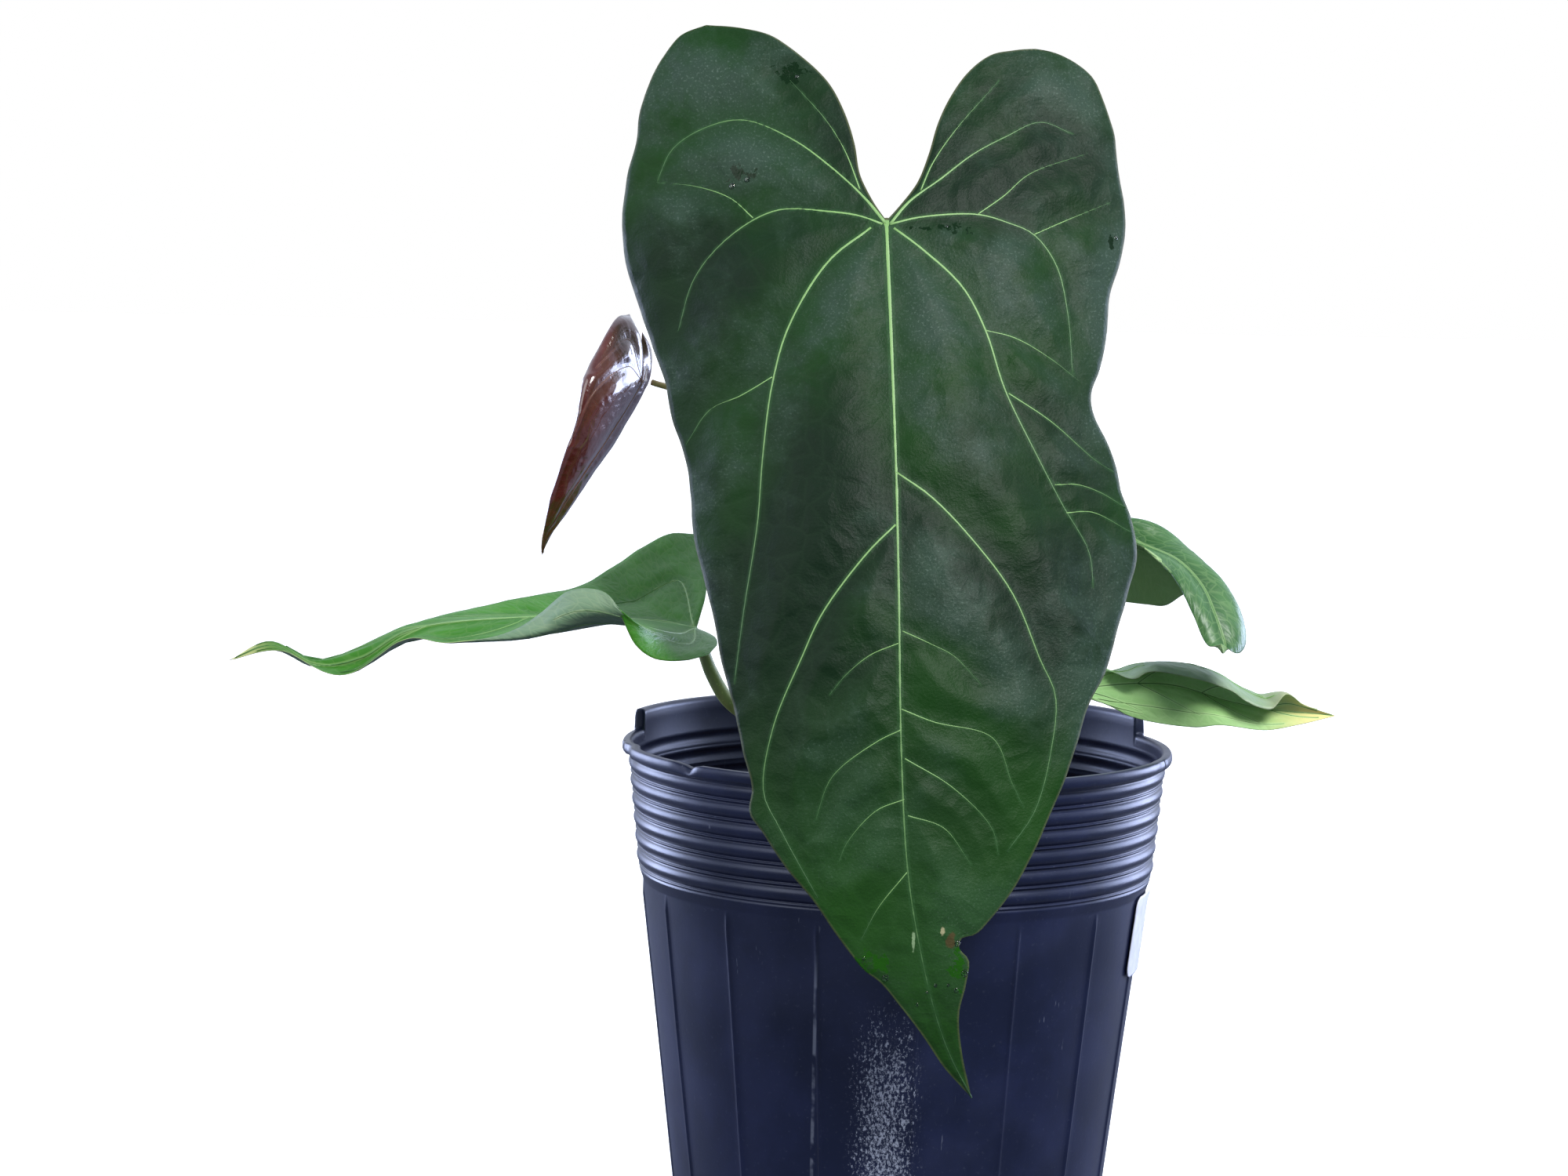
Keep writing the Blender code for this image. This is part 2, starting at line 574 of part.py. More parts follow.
def build_right_upper_blade():
    """The arching blade at +X, its far side hanging down and its tip rolled forward."""
    midrib = [(45, 4, 223), (56, 3, 221), (64, 0, 216), (74, -8, 212), (80, -15, 206),
              (83, -22, 199), (85.5, -27.5, 190.5), (84.5, -30, 189.5), (84, -31, 192)]
    near = ([(58, -6, 220), (64, -6, 216), (70, -11, 212), (74, -19, 206), (77, -24, 199),
             (81, -28, 191)],
            [(58, -6, 220), (52, -3, 222), (48, 1, 223), (45, 4, 223)],
            [(0.0, 0, 0, 0), (0.5, -1, -2, 1), (1.0, 0, 0, 0)])
    far = ([(58, 12, 199), (68, 11, 198), (73, 9, 198), (79, 5, 202), (84, -2, 199),
            (89, -10, 196), (92, -18, 192), (89, -26, 189)],
           [(58, 12, 199), (51, 13, 203), (47, 9, 213), (45, 4, 223)],
           [(0.0, 0, 0, 0), (0.25, 4, 0, 7), (0.6, 3, -1, 4), (1.0, 0, 0, 0)])
    green = plain_material("arching_green", (0.08, 0.2, 0.06), 0.4)
    build_blade("leaf_blade_right_upper", small_halves(midrib, (near, far)), green, LEAF_THICKNESS)


def build_right_lower_blade():
    """The low blade at +X, turned so that its underside faces forward and its top edge curls over."""
    midrib = [(36, 13, 172), (47, 11, 174), (66, 4, 177), (76, 0, 177), (88, -4, 174),
              (100, -7, 172), (118, -10, 171)]
    low = ([(31, 8, 171), (44, 6, 172), (55, 5, 173), (63, -3, 169), (80, -9, 167), (87, -11, 168),
            (99, -12, 167), (109, -12, 169)],
           [(31, 8, 171), (33, 11, 171), (36, 13, 172)],
           [(0.0, 0, 0, 0), (0.5, 0, -1.5, 0), (1.0, 0, 0, 0)])
    top = ([(31, 20, 179), (45, 16, 181), (56, 8, 181), (64, -2, 179), (68, -3, 181), (81, -10, 180),
            (90, -13, 177), (93, -15, 175), (100, -15, 173), (104, -14, 177), (109, -11, 174)],
           [(31, 20, 179), (31, 17, 175), (36, 13, 172)],
           [(0.0, 0, 0, 0), (0.4, 0, 3, 3), (0.7, 0, 4, 5), (1.0, 0, 0, 0)])
    green = plain_material("pale_green", (0.2, 0.4, 0.14), 0.5)
    build_blade("leaf_blade_right_lower", small_halves(midrib, (low, top)), green, LEAF_THICKNESS)


def main():
    clear_scene()
    build_pot_shell()
    build_pot_label()
    build_potting_mix()
    build_stem_crown()
    build_petioles()
    build_cataphylls()
    build_roots()
    build_loose_pieces()
    build_main_blade()
    build_left_blade()
    build_young_blade()
    build_right_upper_blade()
    build_right_lower_blade()


main()
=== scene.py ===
"""The looks of a potted anthurium: five heart-shaped leaves on one crown in a ribbed nursery pot.

Control points are millimetres in the frame's own axes: +Z up, the large leaf facing -Y, and the
origin at the centre of the pot's underside. Each blade is then settled into its solid's box.
"""

import math

import bmesh
import bpy
import numpy as np
from mathutils import Matrix, Vector


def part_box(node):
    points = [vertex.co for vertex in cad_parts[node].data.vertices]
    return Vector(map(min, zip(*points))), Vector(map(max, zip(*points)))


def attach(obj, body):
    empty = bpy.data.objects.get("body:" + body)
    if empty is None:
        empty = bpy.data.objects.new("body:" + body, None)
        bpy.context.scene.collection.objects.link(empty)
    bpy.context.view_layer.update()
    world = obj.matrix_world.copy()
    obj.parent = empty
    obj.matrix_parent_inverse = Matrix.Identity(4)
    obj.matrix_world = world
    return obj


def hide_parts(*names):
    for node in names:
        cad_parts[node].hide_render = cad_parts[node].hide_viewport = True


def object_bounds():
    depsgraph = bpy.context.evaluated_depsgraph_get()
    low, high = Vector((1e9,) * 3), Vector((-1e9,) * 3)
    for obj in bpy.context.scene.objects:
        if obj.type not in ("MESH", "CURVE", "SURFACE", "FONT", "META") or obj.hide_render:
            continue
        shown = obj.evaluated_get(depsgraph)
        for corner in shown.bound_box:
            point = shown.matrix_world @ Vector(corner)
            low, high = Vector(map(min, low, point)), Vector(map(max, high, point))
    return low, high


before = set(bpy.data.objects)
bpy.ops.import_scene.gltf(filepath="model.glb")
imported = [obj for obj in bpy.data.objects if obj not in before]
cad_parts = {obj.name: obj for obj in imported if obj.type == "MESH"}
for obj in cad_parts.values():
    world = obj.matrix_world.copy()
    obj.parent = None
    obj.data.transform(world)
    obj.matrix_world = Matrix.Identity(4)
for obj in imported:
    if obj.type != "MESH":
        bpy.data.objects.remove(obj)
CAD_BOX = [list(corner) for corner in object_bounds()]

bl_info = {
    "name": "Potted Anthurium",
    "version": (1, 0, 0),
    "blender": (4, 5, 0),
    "location": "View3D > Sidebar > Anthurium",
    "description": "Builds the leaves, stalks, mix and pot of a potted anthurium",
    "category": "Add Mesh",
}

MM = 0.001


# Curves and grids -------------------------------------------------------------------------------


def box_mm(node):
    """Lowest and highest corner of a solid, in millimetres."""
    low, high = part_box(node)
    return np.array(low) / MM, np.array(high) / MM


def smooth_through(knots, values, places):
    """Cubic Hermite curve: h00*a + h10*w*a' + h01*b + h11*w*b' between the knots a and b."""
    knots = np.asarray(knots, float)
    values = np.asarray(values, float)
    slopes = np.gradient(values, knots, axis=0)
    places = np.asarray(places, float)
    span = np.clip(np.searchsorted(knots, places, side="right") - 1, 0, len(knots) - 2)
    width = knots[span + 1] - knots[span]
    along = (places - knots[span]) / width
    if values.ndim > 1:
        width = width[..., None]
        along = along[..., None]
    start = (2 * along**3 - 3 * along**2 + 1) * values[span]
    end = (3 * along**2 - 2 * along**3) * values[span + 1]
    start_slope = (along**3 - 2 * along**2 + along) * width * slopes[span]
    end_slope = (along**3 - along**2) * width * slopes[span + 1]
    return start + end + start_slope + end_slope


def rail(points, count):
    """Evenly spaced points along the smooth curve through the given ones."""
    points = np.asarray(points, float)
    steps = np.linalg.norm(np.diff(points, axis=0), axis=1)
    knots = np.concatenate([[0.0], np.cumsum(np.sqrt(steps))])
    fine = smooth_through(knots, points, np.linspace(0.0, knots[-1], 600))
    lengths = np.concatenate([[0.0], np.cumsum(np.linalg.norm(np.diff(fine, axis=0), axis=1))])
    places = np.linspace(0.0, lengths[-1], count)
    return np.stack([np.interp(places, lengths, axis) for axis in fine.T], axis=1)


def ease(low, high, values):
    """0 below low, 1 above high, and 3t^2 - 2t^3 between."""
    share = np.clip((values - low) / (high - low), 0.0, 1.0)
    return share * share * (3.0 - 2.0 * share)


def bump(middle, half_width, values):
    """1 at the middle, falling as (1 - d^2)^2 to 0 half a width away."""
    return np.clip(1.0 - ((values - middle) / half_width) ** 2, 0.0, 1.0) ** 2


def ripple(points, seed, wavelength, octaves=3):
    """Smooth seeded noise: a sum of sines along random directions, each octave half the size."""
    rng = np.random.default_rng(seed)
    total = np.zeros(len(points))
    for octave in range(octaves):
        ways = rng.normal(size=(5, points.shape[1]))
        ways /= np.linalg.norm(ways, axis=1)[:, None]
        pitch = math.tau * 2.0**octave / (wavelength * rng.uniform(0.8, 1.25, 5))
        phase = rng.uniform(0.0, math.tau, 5)
        waves = np.sin(points @ ways.T * pitch + phase)
        total += waves.sum(axis=1) / 5.0 / 2.0**octave
    return total


# Meshes -----------------------------------------------------------------------------------------


def grid_triangles(rows, columns, wrap=False):
    """Two triangles for each cell of a grid laid out row by row; wrap joins the last column."""
    row = np.arange(rows - 1)[:, None]
    column = np.arange(columns if wrap else columns - 1)[None, :]
    after = (column + 1) % columns
    a = (row * columns + column).ravel()
    b = (row * columns + after).ravel()
    c = ((row + 1) * columns + after).ravel()
    d = ((row + 1) * columns + column).ravel()
    return np.concatenate([np.stack([a, b, c], 1), np.stack([a, c, d], 1)])


def weld(keys, triangles):
    """Points whose keys agree become one, and triangles that collapse go."""
    rounded = np.round(keys * 2000.0).astype(np.int64)
    _, first, index = np.unique(rounded, axis=0, return_index=True, return_inverse=True)
    triangles = index.reshape(-1)[triangles]
    whole = ((triangles[:, 0] != triangles[:, 1]) & (triangles[:, 1] != triangles[:, 2])
             & (triangles[:, 0] != triangles[:, 2]))
    return first, triangles[whole]


def point_normals(points, triangles):
    """Unit normals: each point's triangles' area normals, summed."""
    a, b, c = (points[triangles[:, corner]] for corner in range(3))
    facing = np.cross(b - a, c - a)
    total = np.zeros_like(points)
    for corner in range(3):
        np.add.at(total, triangles[:, corner], facing)
    return total / np.maximum(np.linalg.norm(total, axis=1), 1e-12)[:, None]


def open_edges(triangles):
    """The directed edges that only one triangle has."""
    edges = np.concatenate([triangles[:, [0, 1]], triangles[:, [1, 2]], triangles[:, [2, 0]]])
    _, index, count = np.unique(np.sort(edges, axis=1), axis=0, return_inverse=True,
                                return_counts=True)
    return edges[count[index.reshape(-1)] == 1]


def thin_shell(points, triangles, half):
    """A sheet made solid: points +/- half*normal, and a strip of faces round its edge.

    The faces come in the order front, back, strip.
    """
    offset = half * point_normals(points, triangles)
    edge = open_edges(triangles)
    a, b = edge[:, 0], edge[:, 1]
    count = len(points)
    strip = np.concatenate([np.stack([b, a, a + count], 1), np.stack([b, a + count, b + count], 1)])
    shell = np.concatenate([points + offset, points - offset])
    return shell, np.concatenate([triangles, triangles[:, ::-1] + count, strip]), len(strip)


def make_piece(name, points, triangles, materials, slots=None, fields=None):
    """A smooth mesh object from points in millimetres, with float fields kept on its points."""
    mesh = bpy.data.meshes.new(name)
    mesh.from_pydata((points * MM).tolist(), [], triangles.tolist())
    for material in materials:
        mesh.materials.append(material)
    if slots is not None:
        mesh.polygons.foreach_set("material_index", slots.astype(np.int32))
    for label, values in (fields or {}).items():
        kind = "FLOAT" if values.ndim == 1 else "FLOAT_VECTOR"
        layer = mesh.attributes.new(label, kind, "POINT")
        layer.data.foreach_set("value" if values.ndim == 1 else "vector",
                               values.astype(np.float32).ravel())
    mesh.shade_smooth()
    mesh.update()
    piece = bpy.data.objects.new(name, mesh)
    bpy.context.scene.collection.objects.link(piece)
    return piece


def hand_over(piece, slot, *nodes):
    """The finished piece rides on the root body, and stands for these solids."""
    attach(piece, "root")
    if nodes:
        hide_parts(*nodes)
    return piece


def sweep(centres, radii, sides, reference, flatten=1.0, lobes=0, lobe_depth=0.0):
    """A closed tube: centre + r*(cos(a)*side + sin(a)*flatten*over), closed to a point at each end.

    side is the reference direction made square to the path. lobes ridges run along it, each
    lobe_depth of the radius deep.
    """
    ahead = np.gradient(centres, axis=0)
    ahead /= np.linalg.norm(ahead, axis=1)[:, None]
    reference = np.broadcast_to(np.asarray(reference, float), centres.shape)
    side = reference - ahead * (reference * ahead).sum(axis=1)[:, None]
    side /= np.linalg.norm(side, axis=1)[:, None]
    over = np.cross(ahead, side)
    angle = np.linspace(0.0, math.tau, sides, endpoint=False)
    spread = 1.0 + lobe_depth * np.cos(lobes * angle)
    ring = (np.cos(angle) * spread)[None, :, None] * side[:, None]
    ring = ring + (np.sin(angle) * spread * flatten)[None, :, None] * over[:, None]
    radii = np.concatenate([[0.0], radii, [0.0]])[:, None, None]
    ring = np.concatenate([ring[:1], ring, ring[-1:]])
    middle = np.concatenate([centres[:1], centres, centres[-1:]])[:, None]
    points = (middle + radii * ring).reshape(-1, 3)
    first, triangles = weld(points, grid_triangles(len(centres) + 2, sides, wrap=True))
    return points[first], triangles


def joined(parts):
    """Several (points, triangles) as one."""
    starts = np.cumsum([0] + [len(points) for points, _ in parts[:-1]])
    points = np.concatenate([points for points, _ in parts])
    triangles = np.concatenate([faces + start for (_, faces), start in zip(parts, starts)])
    return points, triangles


# Materials --------------------------------------------------------------------------------------


class Recipe:
    """A short way to lay nodes in one material, group or world."""

    def __init__(self, tree):
        self.tree = tree

    def node(self, kind, settings=None, **inputs):
        """Adds a node; inputs are values or sockets, named as the node names them."""
        made = self.tree.nodes.new(kind)
        for key, value in (settings or {}).items():
            setattr(made, key, value)
        for key, value in inputs.items():
            self.feed(made.inputs[key.replace("_", " ")], value)
        return made

    def feed(self, socket, value):
        """Links a socket, or sets its value."""
        if isinstance(value, bpy.types.NodeSocket):
            self.tree.links.new(value, socket)
        else:
            socket.default_value = value

    def maths(self, operation, first, second=0.0, clamp=False):
        """One Math node's result."""
        made = self.node("ShaderNodeMath", {"operation": operation, "use_clamp": clamp})
        self.feed(made.inputs[0], first)
        self.feed(made.inputs[1], second)
        return made.outputs[0]

    def blend(self, share, first, second):
        """Two colours mixed by a share."""
        made = self.node("ShaderNodeMix", {"data_type": "RGBA"})
        self.feed(made.inputs["Factor"], share)
        self.feed(made.inputs["A"], colour(first))
        self.feed(made.inputs["B"], colour(second))
        return made.outputs["Result"]

    def fade(self, value, low, high, to_low=0.0, to_high=1.0):
        """A value carried smoothly from one range to another, and held at its ends."""
        made = self.node("ShaderNodeMapRange", {"interpolation_type": "SMOOTHSTEP"})
        for socket, number in zip(made.inputs, (value, low, high, to_low, to_high)):
            self.feed(socket, number)
        return made.outputs[0]

    def field(self, label, output="Fac"):
        """One of the mesh's own point fields."""
        return self.node("ShaderNodeAttribute", {"attribute_name": label}).outputs[output]

    def noise(self, where, scale, detail=3.0, roughness=0.5, stretch=None):
        """Noise at points in space, scale in waves for each metre."""
        if stretch:
            where = self.node("ShaderNodeMapping", Vector=where, Scale=stretch).outputs[0]
        return self.node("ShaderNodeTexNoise", Vector=where, Scale=scale, Detail=detail,
                         Roughness=roughness).outputs["Fac"]

    def cells(self, where, scale, feature="DISTANCE_TO_EDGE"):
        """Distance field of scattered cells."""
        return self.node("ShaderNodeTexVoronoi", {"feature": feature}, Vector=where,
                         Scale=scale).outputs["Distance"]

    def spot(self, where, centre, sizes):
        """How far a place is from a spot's centre, as a share of the spot's half sizes."""
        moved = self.node("ShaderNodeVectorMath", {"operation": "SUBTRACT"})
        self.feed(moved.inputs[0], where)
        moved.inputs[1].default_value = [value * MM for value in (*centre, 0.0)]
        scaled = self.node("ShaderNodeVectorMath", {"operation": "DIVIDE"})
        self.feed(scaled.inputs[0], moved.outputs[0])
        scaled.inputs[1].default_value = [value * MM for value in (*sizes, 1000.0)]
        length = self.node("ShaderNodeVectorMath", {"operation": "LENGTH"})
        self.feed(length.inputs[0], scaled.outputs[0])
        return length.outputs["Value"]

    def relief(self, height, strength, distance):
        """A Bump node's normal; distance in metres."""
        made = self.node("ShaderNodeBump", Strength=strength, Distance=distance, Height=height)
        return made.outputs["Normal"]

    def finish(self, shader, base, height, strength, distance):
        """Feeds a shader its base colour, and its normal from a relief."""
        self.feed(shader.inputs["Base Color"], base)
        self.feed(shader.inputs["Normal"], self.relief(height, strength, distance))


def colour(value):
    """Three numbers with an alpha of one, or a socket as it is."""
    if isinstance(value, bpy.types.NodeSocket):
        return value
    return (*value[:3], 1.0)


def new_material(name, roughness=0.5, **constants):
    """A material's recipe, its shader and its Object coordinates."""
    material = bpy.data.materials.new(name)
    material.use_nodes = True
    recipe = Recipe(material.node_tree)
    shader = material.node_tree.nodes["Principled BSDF"]
    shader.inputs["Roughness"].default_value = roughness
    for key, value in constants.items():
        socket = shader.inputs[key.replace("_", " ")]
        socket.default_value = value
    where = recipe.node("ShaderNodeTexCoord").outputs["Object"]
    return material, recipe, shader, where


def group_of(name, inputs, outputs, fill):
    """A shader node group, built once, with float or colour sockets; fill(recipe, start, end)."""
    if name in bpy.data.node_groups:
        return bpy.data.node_groups[name]
    tree = bpy.data.node_groups.new(name, "ShaderNodeTree")
    for label, kind, default in inputs:
        socket = tree.interface.new_socket(label, in_out="INPUT", socket_type=kind)
        if default is not None:
            socket.default_value = default
    for label, kind in outputs:
        tree.interface.new_socket(label, in_out="OUTPUT", socket_type=kind)
    start = tree.nodes.new("NodeGroupInput")
    end = tree.nodes.new("NodeGroupOutput")
    fill(Recipe(tree), start.outputs, end)
    return tree


def place_group(recipe, tree, **inputs):
    """A node that uses a group."""
    made = recipe.node("ShaderNodeGroup", {"node_tree": tree})
    for key, value in inputs.items():
        recipe.feed(made.inputs[key.replace("_", " ")], value)
    return made.outputs


def leaf_tissue_group():
    """Fine leaf detail: a net of small veins, soft blotches and a pebbled height."""
    def fill(recipe, start, end):
        net = recipe.cells(start["Flat"], start["Net Scale"])
        thread = recipe.fade(net, 0.0, 0.09, 1.0, 0.0)
        blotch = recipe.noise(start["Flat"], 60.0, 4.0, 0.6)
        grain = recipe.noise(start["Flat"], 1400.0, 2.0, 0.6)
        pillow = recipe.fade(net, 0.0, 0.45)
        height = recipe.maths("ADD", recipe.maths("MULTIPLY", pillow, 0.8),
                              recipe.maths("MULTIPLY", grain, 0.5))
        recipe.feed(end.inputs["Thread"], thread)
        recipe.feed(end.inputs["Blotch"], blotch)
        recipe.feed(end.inputs["Grain"], grain)
        recipe.feed(end.inputs["Height"], height)

    inputs = (("Flat", "NodeSocketVector", None), ("Net Scale", "NodeSocketFloat", 300.0))
    outputs = (("Thread", "NodeSocketFloat"), ("Blotch", "NodeSocketFloat"),
               ("Grain", "NodeSocketFloat"), ("Height", "NodeSocketFloat"))
    return group_of("leaf tissue", inputs, outputs, fill)


def dust_group():
    """Pale dust that lies in broken patches, and specks."""
    def fill(recipe, start, end):
        broad = recipe.noise(start["Where"], 18.0, 5.0, 0.6)
        fine = recipe.noise(start["Where"], 900.0, 3.0, 0.7)
        patch = recipe.fade(broad, 0.45, 0.75)
        speck = recipe.fade(fine, 0.6, 0.75)
        share = recipe.maths("MULTIPLY", recipe.maths("ADD", recipe.maths("MULTIPLY", patch, 0.4),
                                                      speck, True), start["Amount"], True)
        recipe.feed(end.inputs["Share"], share)

    inputs = (("Where", "NodeSocketVector", None), ("Amount", "NodeSocketFloat", 0.3))
    return group_of("dust", inputs, (("Share", "NodeSocketFloat"),), fill)


def leaf_material(name, deep, light, vein, roughness=0.5, net=320.0, vein_width=0.25, halo=3.0,
                  thread=0.25, relief=0.35, tip=None, freckles=None, **constants):
    """A leaf's face: deep along its veins, lighter on the swells, with a net of fine veins."""
    material, recipe, shader, _ = new_material(name, roughness, **constants)
    flat = recipe.field("flat", "Vector")
    tissue = place_group(recipe, leaf_tissue_group(), Flat=flat, Net_Scale=net)
    distance = recipe.field("vein")
    swell = recipe.fade(distance, 0.2, halo)
    mottled = recipe.maths("MULTIPLY", swell, recipe.fade(tissue["Blotch"], 0.3, 0.7, 0.25, 1.0))
    base = recipe.blend(mottled, deep, light)
    base = recipe.blend(recipe.maths("MULTIPLY", tissue["Thread"], thread), base, vein)
    if freckles:
        spots = recipe.fade(recipe.cells(flat, 90.0, "F1"), 0.07, 0.13, 0.8, 0.0)
        rare = recipe.fade(recipe.noise(flat, 25.0), 0.55, 0.65)
        base = recipe.blend(recipe.maths("MULTIPLY", spots, rare), base, freckles)
    if tip:
        base = recipe.blend(recipe.field("tip"), base, tip)
    line = recipe.fade(distance, 0.4 * vein_width, vein_width + 0.15, 0.75, 0.0)
    base = recipe.blend(line, base, vein)
    recipe.finish(shader, base, tissue["Height"], relief, 0.0003)
    return material


def vein_material(name, root, far, roughness=0.5, **constants):
    """A raised vein, fading from its root's colour to the lamina's."""
    material, recipe, shader, where = new_material(name, roughness, **constants)
    grain = recipe.noise(where, 700.0, 2.0)
    fading = recipe.maths("ADD", recipe.field("reach"), recipe.fade(grain, 0.3, 0.7, -0.1, 0.1), True)
    recipe.finish(shader, recipe.blend(fading, root, far), grain, 0.25, 0.0002)
    return material


# Blades -----------------------------------------------------------------------------------------


def half_blade(margin, sinus, midrib, bulges, lobe_sections, midrib_sections, across):
    """One side of a blade as a grid of sections, from its basal lobe to its tip.

    Each section is the parabola (1-v)(1-2v)*inner + 4v(1-v)*middle + v(2v-1)*margin, where inner
    is the sinus edge and then the midrib.
    """
    inner = np.concatenate([rail(sinus, lobe_sections + 1)[:-1], rail(midrib, midrib_sections + 1)])
    count = len(inner)
    outer = rail(list(margin) + [midrib[-1]], count)
    share = np.linspace(0.0, 1.0, count)
    pushes = smooth_through([bulge[0] for bulge in bulges], [bulge[1:] for bulge in bulges], share)
    middle = 0.5 * (inner + outer) + pushes * np.sin(math.pi * share)[:, None] ** 0.5
    v = np.linspace(0.0, 1.0, across + 1)[None, :, None]
    return ((1 - v) * (1 - 2 * v) * inner[:, None] + 4 * v * (1 - v) * middle[:, None]
            + v * (2 * v - 1) * outer[:, None])


def read_grid(grid, u, v):
    """Points of a section grid at shares u along it and v across it, between its nearest four."""
    rows, columns = grid.shape[:2]
    u = np.clip(u, 0.0, 1.0) * (rows - 1)
    v = np.clip(v, 0.0, 1.0) * (columns - 1)
    row = np.minimum(u.astype(int), rows - 2)
    column = np.minimum(v.astype(int), columns - 2)
    s = (u - row)[:, None]
    t = (v - column)[:, None]
    near = grid[row, column] * (1 - t) + grid[row, column + 1] * t
    far = grid[row + 1, column] * (1 - t) + grid[row + 1, column + 1] * t
    return near * (1 - s) + far * s


def distance_to(points, lines):
    """Each point's least distance to a set of polylines, each less its own half width there.

    Along a segment p + s*(q - p), s is the nearest share, and the half width is mixed by s.
    """
    least = np.full(len(points), 1e9)
    for line, half_width in lines:
        starts, ends = line[:-1], line[1:]
        along = ends - starts
        length = np.maximum((along**2).sum(axis=1), 1e-9)
        for begin in range(0, len(points), 8000):
            block = points[begin:begin + 8000]
            share = ((block[:, None] - starts[None]) * along[None]).sum(axis=2) / length
            share = np.clip(share, 0.0, 1.0)
            nearest = starts[None] + share[..., None] * along[None]
            gap = np.linalg.norm(block[:, None] - nearest, axis=2)
            width = half_width[:-1] * (1 - share) + half_width[1:] * share
            least[begin:begin + 8000] = np.minimum(least[begin:begin + 8000],
                                                   (gap - width).min(axis=1))
    return least


class Blade:
    """A leaf blade before it is made: its welded sheet, its flat coordinates and its veins."""

    def __init__(self, node, halves, place=None):
        flats = []
        points = []
        triangles = []
        start = 0
        for side, grid in zip((1.0, -1.0), halves):
            rows, columns = grid.shape[:2]
            steps = np.linalg.norm(np.diff(grid, axis=1), axis=2)
            across = np.concatenate([np.zeros((rows, 1)), np.cumsum(steps, axis=1)], axis=1)
            along = np.broadcast_to(np.linspace(0.0, 1.0, rows)[:, None], (rows, columns))
            length = np.linalg.norm(np.diff(grid[:, 0], axis=0), axis=1).sum()
            flats.append(np.stack([side * across, along * length, np.zeros_like(along)],
                                  axis=2).reshape(-1, 3))
            points.append(grid.reshape(-1, grid.shape[2]))
            faces = grid_triangles(rows, columns) + start
            triangles.append(faces if side > 0 else faces[:, ::-1])
            start += rows * columns
        points = np.concatenate(points)
        triangles = np.concatenate(triangles)
        first, triangles = weld(points, triangles)
        self.flat = np.concatenate(flats)[first]
        points = points[first]
        self.place = place or (lambda flat: flat)
        if place:
            self.flat = np.column_stack([points, np.zeros(len(points))])
        points = self.place(points)
        if points.shape[1] != 3:
            raise ValueError(f"{node}: the blade's points need three coordinates")
        low, high = box_mm(node)
        self.shift = 0.5 * (low + high) - 0.5 * (points.min(axis=0) + points.max(axis=0))
        self.points = points + self.shift
        self.triangles = triangles
        self.halves = halves
        self.node = node
        self.veins = []
        edges = open_edges(triangles)
        self.rim = edges

    def turn_to(self, way):
        """Orders the triangles so that the sheet's front faces the given direction on the whole."""
        normals = point_normals(self.points, self.triangles)
        if (normals @ np.asarray(way, float)).sum() < 0:
            self.triangles = self.triangles[:, ::-1]
            self.rim = open_edges(self.triangles)
        return self

    def add_vein(self, line, root_width, end_width):
        """A vein along a line of points in space, its full widths in millimetres."""
        widths = 0.5 * np.linspace(root_width, end_width, len(line))
        self.veins.append((line, widths))

    def flat_vein(self, control, root_width, end_width, count=40):
        """A vein drawn in the blade's own flat plane."""
        flat = rail(control, count)
        self.add_vein(self.place(flat) + self.shift, root_width, end_width)

    def half_vein(self, side, control, root_width, end_width, count=30):
        """A vein on one half, drawn through (along, across) shares of its section grid."""
        shares = rail(control, count)
        line = read_grid(self.halves[side], shares[:, 0], shares[:, 1])
        self.add_vein(self.place(line) + self.shift, root_width, end_width)

    def build(self, name, face, rim, back, thickness, quilt, quilt_width, tip_length, seed,
              crumple=0.0):
        """The closed blade. Between its veins the sheet swells by quilt*(1 - exp(-(d/width)^2))."""
        points = self.points
        normals = point_normals(points, self.triangles)
        vein = distance_to(points, self.veins)
        edge_points = points[np.unique(self.rim)]
        edge = np.full(len(points), 1e9)
        for begin in range(0, len(points), 4000):
            block = points[begin:begin + 4000]
            gaps = np.linalg.norm(block[:, None] - edge_points[None], axis=2)
            edge[begin:begin + 4000] = gaps.min(axis=1)
        swell = quilt * (1.0 - np.exp(-(np.maximum(vein, 0.0) / quilt_width) ** 2))
        swell *= ease(0.0, 2.0 * quilt_width, edge + 1.5)
        swell += crumple * ripple(points, seed, 14.0, 3) * ease(0.0, 2.5, np.maximum(vein, 0.0))
        points = points + normals * swell[:, None]
        normals = point_normals(points, self.triangles)
        self.surface, self.surface_normals = points, normals
        half = 0.5 * thickness * (0.35 + 0.65 * ease(0.0, 2.0, edge))[:, None]
        shell, triangles, strip = thin_shell(points, self.triangles, half)
        slots = np.concatenate([np.zeros(len(self.triangles)), np.full(len(self.triangles), 2),
                                np.ones(strip)])
        tip = np.linalg.norm(points - self.tip, axis=1)
        near_tip = 1.0 - ease(0.0, tip_length, tip)
        fields = {"flat": np.tile(self.flat * MM, (2, 1)), "vein": np.tile(vein, 2),
                  "edge": np.tile(edge, 2), "tip": np.tile(near_tip, 2)}
        return make_piece(name, shell, triangles, [face, rim, back], slots, fields)

    @property
    def tip(self):
        """The blade's last point."""
        last = self.halves[0][-1, 0][None]
        return (self.place(last) + self.shift)[0]

